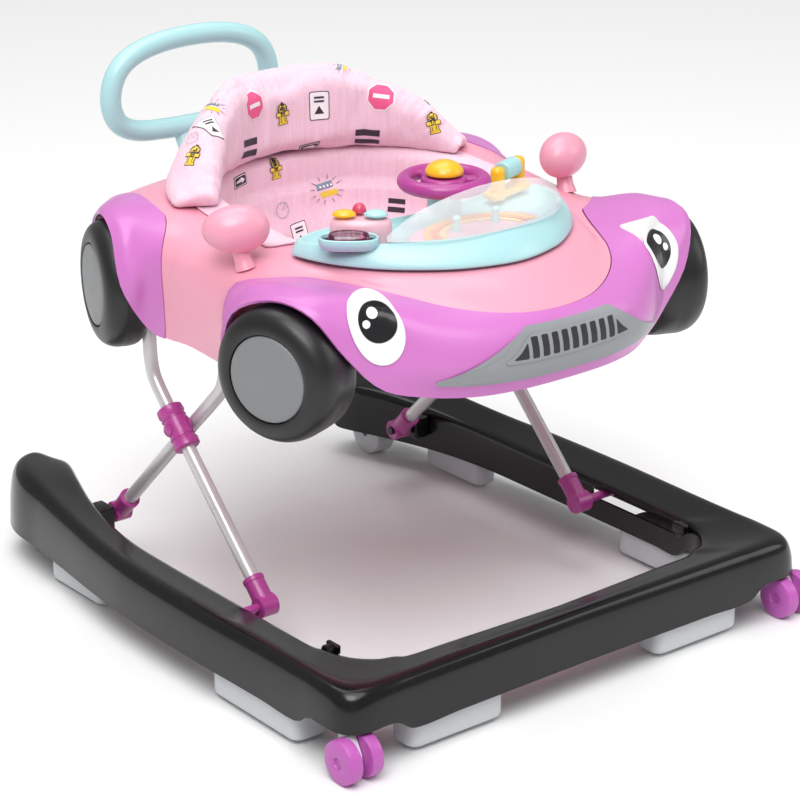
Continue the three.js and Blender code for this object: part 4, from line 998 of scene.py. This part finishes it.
def play_board():
    """Pale board with orange arcs lying behind the screen, and its two small pegs."""
    def disc(rx, ry, cy, z, n=90):
        return [(rx * math.cos(t), cy + ry * math.sin(t), z) for t in round_steps(n)]

    board = grid([disc(84, 40, -150, 471), disc(84, 40, -150, 473.5), disc(83, 39, -150, 474.4),
                  disc(60, 24, -150, 474.8), disc(20, 8, -150, 475)])
    build("board_look", board, pale_pink, "toy_tray", smooth=50)
    for name, look, out, wide, lift in (("outer", yellow, 70, 7, 0.5), ("middle", orange, 61, 7, 1.0),
                                        ("inner", pale_yellow, 52, 6, 0.5)):
        arc = [(out * math.cos(t), -172 + 0.66 * out * math.sin(t) * 1.25, 475.2 + lift)
               for t in np.linspace(0.12, math.pi - 0.12, 70)]
        build("arc_" + name, sweep(arc, wide * 0.5, 12, squash=0.35, up=UP), look, "toy_tray", smooth=60)
    pegs = [lathe([(0, 0), (5, 0), (4.6, 6), (3.2, 10), (4.4, 13), (4.6, 15), (3, 17), (0, 17.6)],
                  (x, -148, 474.6),
                  UP, 28) for x in (-24, 30)]
    build("board_pegs", merge(*pegs), teal, "toy_tray", smooth=50)


def steering():
    ring = [(42.8 * math.cos(a), -98 + 42.8 * math.sin(a), 514)
            for a in round_steps(96)]
    rim = sweep(ring, 8.2, 28, closed=True, up=UP)
    hub = lathe([(9.4, -3.5), (24, -3.5), (25.4, -1), (25, 3), (23, 5.5), (21.6, 6), (9.4, 6)], (0, -98, 514),
                UP, 64)
    spokes = []
    for d in (90, 210, 330):
        a = math.radians(d)
        c, s = math.cos(a), math.sin(a)
        outline = rounded([(20, -8.5), (40, -6.5), (40, 6.5), (20, 8.5)], 2, 3)
        points, faces = slab(outline, 510.6, 517.4, 1.6)
        spokes.append(([(x * c - y * s, -98 + x * s + y * c, z) for x, y, z in points], faces))
    build("steering_look", merge(rim, hub, *spokes), magenta, "steering", "steering_wheel",
          smooth=45)
    dome = [(0, 14.5), (5, 14.1), (10, 12.8), (14.5, 10.6), (18, 7.6), (20.4, 4), (21, 1.6), (20.6, 0),
            (6.4, 0),
            (6.4, -14), (0, -14)]
    build("horn_look", lathe(dome, (0, -98, 523), UP, 64), yellow, "horn", "horn_button", 50)


def key_toy():
    x, y, z = 116, -68, 500
    axis = (0.922437, 0.386137, 0)
    posts = []
    for s in (-1, 1):
        cx, cy = x + s * 23.2, y + s * 10
        posts.append(lathe([(0, 0), (8.6, 0), (8.4, 8), (8, 30), (7.2, 33.6), (5, 35.6), (0, 36)],
                           (cx, cy, 472.2), UP, 40))
    outline = rounded([(x - 36, y - 20), (x + 34, y - 2), (x + 34, y + 20), (x - 36, y + 2)], 6, 6)
    build("key_bracket_look", merge(slab(outline, 472.2, 480, 2), *posts), yellow, "toy_tray", "key_bracket",
          smooth=45)
    drum = [(0.1, -15), (9.6, -15), (11, -14), (11, 14), (9.6, 15), (0.1, 15)]
    build("key_roller_look", merge(lathe(drum, (x, y, z), axis, 48), lathe(
        [(0, -29), (3, -29), (3, 29), (0, 29)], (x, y, z), axis, 20)), teal, "key_barrel", "key_roller")


# ---------- Fabric ----------
def fabric(name, color):
    """Woven pink cotton: upright pale heather streaks, a fine plain weave and a soft nap."""
    n = Nodes(name)
    where = n.coords()
    streak_at = n.add("Mapping", {0: where, 3: (420, 420, 9)}).outputs[0]
    streak = n.noise(1, 2, streak_at, 0.6)
    wide_at = n.add("Mapping", {0: where, 3: (130, 130, 4)}).outputs[0]
    wide = n.noise(1, 1, wide_at)
    base = n.mix(n.range(wide, 0.35, 0.65, 0, 1), tone(color, 0.98), tone(color, 1.02))
    pale = n.mix(n.range(streak, 0.50, 0.72, 0, 0.32), base, (0.93, 0.84, 0.89, 1))
    rosy = n.mix(n.range(streak, 0.42, 0.25, 0, 0.25), pale, tone(color, 0.88))
    split = n.add("SeparateXYZ", {0: where})
    thread = [n.math("SINE", n.math("MULTIPLY", split.outputs[k], 7800)) for k in range(3)]
    weave = n.math("ADD", n.math("ADD", thread[0], thread[1]), thread[2])
    n.set(color=rosy, rough=n.range(streak, 0.3, 0.7, 0.82, 0.92), sheen=0.22, specular=0.22)
    height = n.math("ADD", n.math("MULTIPLY", weave, 0.12), n.noise(90, 3))
    n.bump(height, 0.55, 0.0007)
    return n.material


def ink(name, color):
    """Printed colour on the cloth, with its own fine grain in colour and surface."""
    n = Nodes(name)
    grain = n.noise(1500, 2)
    n.set(color=n.mix(n.range(grain, 0.4, 0.62, 0, 0.5), (*color, 1), tone(color, 1.35)), rough=0.85,
          sheen=0.15,
          specular=0.2)
    n.bump(n.noise(900, 2), 0.5, 0.0002)
    return n.material


cloth = fabric("heather_cotton", (0.87, 0.585, 0.69, 1))
inks = {"yellow": ink("ink_yellow", (0.78, 0.56, 0.06)), "dark": ink("ink_dark", (0.045, 0.03, 0.045)),
        "rose": ink("ink_rose", (0.72, 0.10, 0.24)), "white": ink("ink_white", (0.84, 0.78, 0.81)),
        "grey": ink("ink_grey", (0.20, 0.24, 0.31))}


def swell(piece, voxel, pressure, cap, frames=20):
    """Blows the sewn shape up with a cloth simulation, caps how far it moves, and applies it."""
    scene = bpy.context.scene
    bpy.ops.object.select_all(action="DESELECT")
    bpy.context.view_layer.objects.active = piece
    piece.select_set(True)
    remesh = piece.modifiers.new("remesh", "REMESH")
    remesh.mode, remesh.voxel_size = "VOXEL", voxel
    bpy.ops.object.modifier_apply(modifier="remesh")
    start = np.array([v.co[:] for v in piece.data.vertices])
    soft = piece.modifiers.new("cloth", "CLOTH")
    settings = soft.settings
    settings.use_pressure = True
    settings.uniform_pressure_force = pressure
    settings.effector_weights.gravity = 0
    settings.tension_stiffness = settings.compression_stiffness = 9
    settings.bending_stiffness = 0.25
    for frame_number in range(1, frames + 1):
        scene.frame_set(frame_number)
    done = piece.evaluated_get(bpy.context.evaluated_depsgraph_get())
    end = np.array([v.co[:] for v in done.data.vertices])
    piece.modifiers.remove(soft)
    scene.frame_set(1)
    move = end - start
    size = np.linalg.norm(move, axis=1)[:, None]
    move *= np.minimum(1, cap / np.maximum(size, 1e-9))
    for vertex, spot in zip(piece.data.vertices, start + move):
        vertex.co = spot
    piece.data.update()


# Bolster stations on the right, from the rear middle to the arm's end: inner foot, seam, crown, outer foot.
ARCH = [
    [(0, 200, 472), (0, 203, 571), (0, 224, 577), (0, 243, 474)],
    [(38, 197, 472), (42, 198, 572), (40, 220, 577), (38, 241, 474)],
    [(68, 186, 472), (80, 181, 571), (80, 204, 574), (74, 230, 474)],
    [(98, 170, 473), (113, 159, 554), (119, 182, 556), (114, 212, 475)],
    [(124, 146, 473), (136, 131, 540), (152, 156, 538), (158, 186, 475)],
    [(143, 122, 473), (152, 105, 519), (175, 133, 514), (186, 158, 475)],
    [(154, 102, 473), (163, 90, 498), (188, 112, 495), (202, 128, 474)],
    [(163, 86, 472), (171, 77, 486), (195, 93, 485), (207, 106, 472)],
]
SEAM = [(-x, y, z) for x, y, z in [s[1] for s in ARCH][:0:-1]] + [s[1] for s in ARCH]


def bolster():
    def section(f, s, c, o):
        return [f, np.add(np.multiply(f, 0.55), np.multiply(s, 0.45)) + (0, -4, 0), s,
                np.add(np.multiply(s, 0.45), np.multiply(c, 0.55)) + (0, 0, 6), c,
                np.add(np.multiply(c, 0.5), np.multiply(o, 0.5)) + (0.02 * o[0], 3, 4), o,
                np.add(np.multiply(f, 0.5), np.multiply(o, 0.5))]
    right = [np.array([tuple(p) for p in section(*station)]) for station in ARCH]
    rings = [r * (-1, 1, 1) for r in right[:0:-1]] + right
    fine = spread(rings, 61)
    dense = [curve(ring, 48, closed=True) for ring in fine]
    points, faces = grid(dense)
    mesh = bpy.data.meshes.new("bolster")
    mesh.from_pydata([tuple(at(*p)) for p in points], [], faces)
    work = bmesh.new()
    work.from_mesh(mesh)
    bmesh.ops.recalc_face_normals(work, faces=work.faces)
    work.to_mesh(mesh)
    work.free()
    piece = bpy.data.objects.new("bolster", mesh)
    bpy.context.scene.collection.objects.link(piece)
    swell(piece, 0.005, 4.0, 0.007)
    work = bmesh.new()
    work.from_mesh(piece.data)
    for _ in range(3):
        bmesh.ops.smooth_vert(work, verts=work.verts, factor=0.5, use_axis_x=True, use_axis_y=True,
                              use_axis_z=True)
    work.to_mesh(piece.data)
    work.free()
    smooth = piece.modifiers.new("smooth", "SUBSURF")
    smooth.levels = smooth.render_levels = 1
    bpy.context.view_layer.objects.active = piece
    bpy.ops.object.modifier_apply(modifier="smooth")
    seam = np.array([tuple(at(*p)) for p in curve(SEAM, 240)])
    along = np.r_[0, np.cumsum(np.linalg.norm(np.diff(seam, axis=0), axis=1))]
    tree = kdtree.KDTree(len(seam))
    for i, p in enumerate(seam):
        tree.insert(p, i)
    tree.balance()
    for vertex in piece.data.vertices:
        _, index, far = tree.find(vertex.co)
        run = along[index]
        tuck = 0.0026 * math.exp(-(far / 0.0038) ** 2)
        ease = math.exp(-(far / 0.028) ** 2) * min(1, far / 0.006)
        gather = 0.0005 * ease * (math.sin(run * 260 + 3 * math.sin(run * 41)) + 0.6 * math.sin(run * 610))
        x, y, z = vertex.co
        fold = 0.0016 * noise.noise((x * 34, y * 34, z * 9)) + 0.0009 * noise.noise((x * 90, y * 90, z * 30))
        crease = sum(-0.0016 * math.exp(-((run - along[-1] * k) / 0.007) ** 2) * min(1, far / 0.02)
                     for k in (0.30, 0.44, 0.60, 0.735))
        vertex.co += vertex.normal * (gather - tuck + fold + crease * math.exp(-(far / 0.07) ** 2))
    piece.data.materials.clear()
    piece.data.materials.append(cloth)
    shade(piece, 180)
    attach(piece, "tray")
    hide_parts("seat_bolster")
    return piece


# Sling rings below the well wall: half-width, half-length, middle y and height.
SLING = [(139, 121, 78, 430), (136.5, 118, 79, 408), (128, 112, 80, 390), (117, 104, 82, 364),
         (106, 97, 84, 338),
         (95, 89, 86, 318), (82, 80, 88, 298), (66, 67, 90, 282), (46, 50, 92, 270), (22, 26, 94, 262)]
LEG_HOLE = {"centre": (62, 24, 310), "along": (0.72, -0.66, -0.22), "half": (36, 46)}


def sling():
    around = 152
    columns = np.linspace(0, AROUND, around, endpoint=False)

    def over(u, depth):
        c = AROUND - u if u > HALF else u
        reach = 0.95 + 1.0 * min(1, max(0, (c - 5.5) / 4.0))
        v = reach * (1 - depth)
        p = skin(u, v) + 1.7 * skin_normal(u, v)
        return p

    rings = [[over(u, d) for u in columns] for d in np.linspace(0, 0.94, 13)]
    last = np.array(rings[-1])
    turn = [math.atan2((p[1] - 78) / 121, p[0] / 139) for p in last]
    for k, (rx, ry, cy, z) in enumerate(spread(SLING, 46)):
        ring = []
        for i, a in enumerate(turn):
            drift = 1.3 * math.sin(k * 0.21)
            pleat = 1.3 * math.sin(i * TURN * 19 / around + drift) * math.sin(math.pi * min(
                1, k / 30))
            ring.append(((rx + pleat) * math.cos(a), cy + (ry + pleat) * math.sin(a), z))
        rings.append(ring)
    rings = np.array(rings)
    points, faces = grid(rings, caps=False)
    n = around
    rows = len(rings)
    points = np.concatenate([points, [(0, 94, 259.5)]])
    faces += [((rows - 1) * n + i, (rows - 1) * n + (i + 1) % n, rows * n) for i in range(n)]
    edge_rings = []
    inside = np.zeros(len(points), bool)
    for sign in (1, -1):
        centre = np.array(LEG_HOLE["centre"]) * (sign, 1, 1)
        axis = np.array(LEG_HOLE["along"]) * (sign, 1, 1)
        axis = axis / np.linalg.norm(axis)
        up = np.array([0, 0, 1.0]) - axis * axis[2]
        up /= np.linalg.norm(up)
        side = np.cross(up, axis)
        d = points - centre
        a, b, c = d @ side / LEG_HOLE["half"][0], d @ up / LEG_HOLE["half"][1], d @ axis
        rho = np.hypot(a, b)
        near = (c > -30) & (points[:, 0] * sign > 4)
        inside |= near & (rho < 1)
        pull = near & (rho >= 1) & (rho < 1.09)
        for i in np.nonzero(pull)[0]:
            outwards = a[i] * LEG_HOLE["half"][0] * side + b[i] * LEG_HOLE["half"][1] * up
            points[i] -= (1 - 1 / rho[i]) * outwards
        surface = points[near & (rho > 0.9) & (rho < 1.25)]
        ring = []
        for t in round_steps(72):
            flat = centre + math.cos(t) * LEG_HOLE["half"][0] * side + math.sin(t) * LEG_HOLE["half"][1] * up
            gap = surface - flat
            gap -= np.outer(gap @ axis, axis)
            close = np.argsort(np.linalg.norm(gap, axis=1))[:4]
            ring.append(flat + axis * np.mean((surface[close] - flat) @ axis))
        edge_rings.append(curve(ring, 96, closed=True))
    faces = [f for f in faces if not any(inside[i] for i in f)]
    used = sorted({i for f in faces for i in f})
    index = {old: new for new, old in enumerate(used)}
    piece = build("sling", (points[used], [tuple(index[i] for i in f) for f in faces]), cloth, "tray",
                  "seat_sling",
                  smooth=180)
    area = sum(p.area for p in piece.data.polygons)
    thick = piece.modifiers.new("cloth", "SOLIDIFY")
    thick.thickness, thick.offset = 0.0016, 0
    tape = merge(*[sweep(ring, 2.6, 12, closed=True, squash=0.8, up=(0.1, 0.2, 1)) for ring in edge_rings])
    binding = build("leg_binding", tape, cloth, "tray", smooth=60)
    hem = curve([p + np.array([0, 0, 0.2]) for p in rings[0]], 300, closed=True)
    edging = build("rim_binding", sweep(hem, 1.5, 8, closed=True), cloth, "tray", smooth=60)
    return piece, area, [binding, edging]


def icon_shapes():
    """Small road pictures without lettering, as (ink, outline) pairs in millimetres; up is +y."""
    def ring(cx, cy, rx, ry, n=28, a0=0.0, a1=TURN):
        return [(cx + rx * math.cos(t), cy + ry * math.sin(t)) for t in np.linspace(a0, a1, n,
                                                                                    endpoint=False)]

    def bar(x0, y0, x1, y1):
        return [(x0, y0), (x1, y0), (x1, y1), (x0, y1)]

    def hoop(cx, cy, r, wide, n=30, squash=1.0):
        out = []
        for k in range(n):
            a, b = TURN * k / n, TURN * (k + 1) / n
            out.append([(cx + q * math.cos(t), cy + squash * q * math.sin(t)) for q, t in (
                (r, a), (r, b), (r - wide, b), (r - wide, a))])
        return out

    octagon = [(math.cos(math.radians(22.5 + 45 * k)),
                math.sin(math.radians(22.5 + 45 * k))) for k in range(8)]
    hydrant = [("dark", rounded([(-6.2, -11.6), (6.2, -11.6), (6.2, -8.4), (-6.2, -8.4)], 1)),
               ("yellow", rounded([(-5.5, -11), (5.5, -11), (5.5, -9), (-5.5, -9)], 0.8)),
               ("dark", rounded([(-4.9, -9), (4.9, -9), (4.9, 5.4), (-4.9, 5.4)], 1.2)),
               ("yellow", rounded([(-4.2, -9), (4.2, -9), (4.2, 5), (-4.2, 5)], 1)),
               ("dark", bar(-7.9, -2.7, 7.9, 2.3)), ("yellow", bar(-7.2, -2, 7.2, 1.6)),
               ("dark", ring(0, 5.6, 5.9, 5.2)), ("yellow", ring(0, 5.6, 5.1, 4.4)),
               ("dark", bar(-1.4, 9.6, 1.4, 12)), ("dark", bar(-5.6, 3.9, 5.6, 4.7)),
               ("dark", ring(0, -0.2, 2.5, 2.5)), ("yellow", ring(0, -0.2, 1.7, 1.7)),
               ("dark", bar(-2.7, -8.4, -2.0, -3.4)), ("dark", bar(2.0, -8.4, 2.7, -3.4))]
    stop = [("white", [(15 * x, 15 * y) for x, y in octagon]),
            ("rose", [(13.8 * x, 13.8 * y) for x, y in octagon]),
            ("white", bar(-8.4, -2.1, 8.4, 2.1))]
    board = [("dark", rounded([(-10, -14), (10, -14), (10, 14), (-10, 14)], 2.4)),
             ("white", rounded([(-9.2, -13.2), (9.2, -13.2), (9.2, 13.2), (-9.2, 13.2)], 2)),
             ("dark", [(-5, -8), (5, -8), (0, 0)]), ("dark", bar(-5, 3.4, 5, 5.2)),
             ("dark", bar(-5, 7.2, 5, 9))]
    bars = [("dark", bar(-10.5, 2, 10.5, 8)), ("dark", bar(-10.5, -8, 10.5, -2))]
    arrow = [("dark", rounded([(-11, -6.2), (11, -6.2), (11, 6.2), (-11, 6.2)], 2)),
             ("white", rounded([(-10, -5.2), (10, -5.2), (10, 5.2), (-10, 5.2)], 1.6)),
             ("dark", rounded([(-9.2, -4.4), (9.2, -4.4), (9.2, 4.4), (-9.2, 4.4)], 1.4)),
             ("white", [(-7, -0.9), (2.5, -0.9), (2.5, -3.2), (7.4, 0), (2.5, 3.2), (2.5, 0.9), (-7, 0.9)])]
    dial = [("grey", h) for h in hoop(0, 0, 8.6, 0.55)] + [("grey",
                                                            [(-0.4, 0), (0.4, 0), (3.6, 4.6), (3.1, 5)])]
    dial += [("grey", [(7.3 * math.cos(t) - 0.3 * math.sin(t), 7.3 * math.sin(t) + 0.3 * math.cos(t)),
                       (7.3 * math.cos(t) + 0.3 * math.sin(t), 7.3 * math.sin(t) - 0.3 * math.cos(t)),
                       (6.2 * math.cos(t) + 0.3 * math.sin(t), 6.2 * math.sin(t) - 0.3 * math.cos(t)),
                       (6.2 * math.cos(t) - 0.3 * math.sin(t), 6.2 * math.sin(t) + 0.3 * math.cos(t))])
             for t in np.radians(np.arange(-30, 240, 45))]
    burst = [("grey", rounded([(-10, 0.6), (8, 1.6), (8, 7.6), (-10, 6.6)], 0.8)),
             ("yellow", rounded([(-7, -7.4), (11, -6.4), (11, -0.6), (-7, -1.6)], 0.8))]
    for t in np.radians([20, 45, 75, 110, 140, 165, 200, 225, 255, 290, 320, 345]):
        c, s = math.cos(t), math.sin(t)
        burst.append(("dark", [(13 * c - 0.4 * s, 10.5 * s + 0.4 * c), (13 * c + 0.4 * s, 10.5 * s - 0.4 * c),
                               (19 * c + 0.1 * s, 15.5 * s - 0.1 * c),
                               (19 * c - 0.1 * s, 15.5 * s + 0.1 * c)]))
    burst += [("white", bar(-7 + 4 * k, 3.2, -5 + 4 * k, 4.8)) for k in range(4)]
    return {"hydrant": hydrant, "stop": stop, "board": board, "bars": bars, "arrow": arrow, "dial": dial,
            "burst": burst}


# Prints on the bolster and in the sling: picture, a design point near its middle, lean in degrees and size.
PRINTS = [
    ("hydrant", 0, (-166, 131, 519), 8, 1.15), ("hydrant", 0, (-3, 201, 529), 4, 1.15),
    ("hydrant", 0, (152, 106, 510), 14, 1.1), ("hydrant", 1, (-6, 196, 462), 4, 1.1),
    ("stop", 0, (-50, 194, 546), 4, 1.15), ("stop", 0, (114, 157, 536), -8, 1.15),
    ("board", 0, (49, 194, 531), 0, 1.2), ("board", 0, (-132, 150, 540), -16, 1.15),
    ("bars", 0, (-61, 189, 500), -4, 1.35), ("bars", 0, (102, 167, 493), -4, 1.35),
    ("arrow", 0, (38, 197, 486), 8, 1.15), ("arrow", 1, (-60, 182, 460), 4, 1.15),
    ("burst", 0, (-112, 176, 560), 10, 0.9), ("burst", 0, (83, 190, 572), 12, 0.8),
    ("burst", 1, (57, 188, 428), 8, 1.15), ("dial", 0, (-160, 150, 538), 0, 1.0),
    ("dial", 1, (-2, 197, 412), 0, 1.1), ("board", 1, (18, 188, 380), 8, 1.1),
    ("bars", 1, (118, 133, 410), 0, 1.0),
    ("hydrant", 0, (60, 228, 530), 6, 1.15), ("stop", 0, (0, 240, 520), 0, 1.15),
    ("board", 0, (-60, 228, 530), 0, 1.15), ("bars", 0, (100, 215, 510), 0, 1.3),
    ("arrow", 0, (-105, 213, 515), 0, 1.15), ("hydrant", 0, (166, 136, 512), -8, 1.15),
]


def prints(targets):
    """Lays the pictures on the nearest cloth, one mesh per ink, lifted by its place in the stack."""
    shapes = icon_shapes()
    trees = [surface_tree(piece.name) for piece in targets]
    stacks = {(key, k): ([], []) for key in inks for k in range(len(targets))}
    for kind, k, spot, lean, size in PRINTS:
        tree = trees[k]
        middle, normal, _, _ = tree.find_nearest(at(*spot))
        if normal.dot(Vector((0, 0.094 - MIDDLE_Y * 0.001, 0.52)) - middle) < 0 and k == 1:
            normal = -normal
        up = Vector((0, 0, 1)) - normal * normal.z
        up.normalize()
        side = up.cross(normal)
        turn = math.radians(lean)
        right, over = side * math.cos(turn) + up * math.sin(turn), up * math.cos(turn) - side * math.sin(turn)
        for level, (key, outline) in enumerate(shapes[kind]):
            work = bmesh.new()
            ring = [work.verts.new((x * size, y * size, 0)) for x, y in outline]
            work.faces.new(ring)
            bmesh.ops.triangulate(work, faces=work.faces)
            for _ in range(4):
                longer = [e for e in work.edges if e.calc_length() > 2.6]
                if longer:
                    bmesh.ops.subdivide_edges(work, edges=longer, cuts=1)
                    bmesh.ops.triangulate(work, faces=work.faces)
            points, faces = stacks[(key, k)]
            base = len(points)
            for v in work.verts:
                flat = middle + (right * v.co.x + over * v.co.y) * 0.001
                hit, _, _, _ = tree.ray_cast(flat + normal * 0.03, -normal, 0.06)
                if hit is None:
                    hit = flat
                points.append(hit + normal * ((1.15 if k else 0.45) + 0.2 * min(level, 6)) * 0.001)
            faces += [tuple(base + v.index for v in f.verts) for f in work.faces]
            work.free()
    made = [[], []]
    for (key, k), (points, faces) in stacks.items():
        if not faces:
            continue
        mesh = bpy.data.meshes.new("print")
        mesh.from_pydata(points, [], faces)
        piece = bpy.data.objects.new(f"print_{key}_{('bolster', 'sling')[k]}", mesh)
        bpy.context.scene.collection.objects.link(piece)
        mesh.materials.append(inks[key])
        shade(piece, 180)
        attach(piece, "tray")
        made[k].append(piece)
    return made


# ---------- Make everything ----------
camera()
stage()
base_shell()
base_fittings()
legs()
car_body()
decor_wheels()
push_handle()
mirrors()
eyes()
grille()
toy_tray()
windscreen()
play_board()
steering()
key_toy()
pad = bolster()
seat, seat_area, seat_trim = sling()
on_pad, on_seat = prints((pad, seat))
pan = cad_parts["tray_pan"]
pan.data.materials.clear()
pan.data.materials.append(pink)
shade(pan, 35)
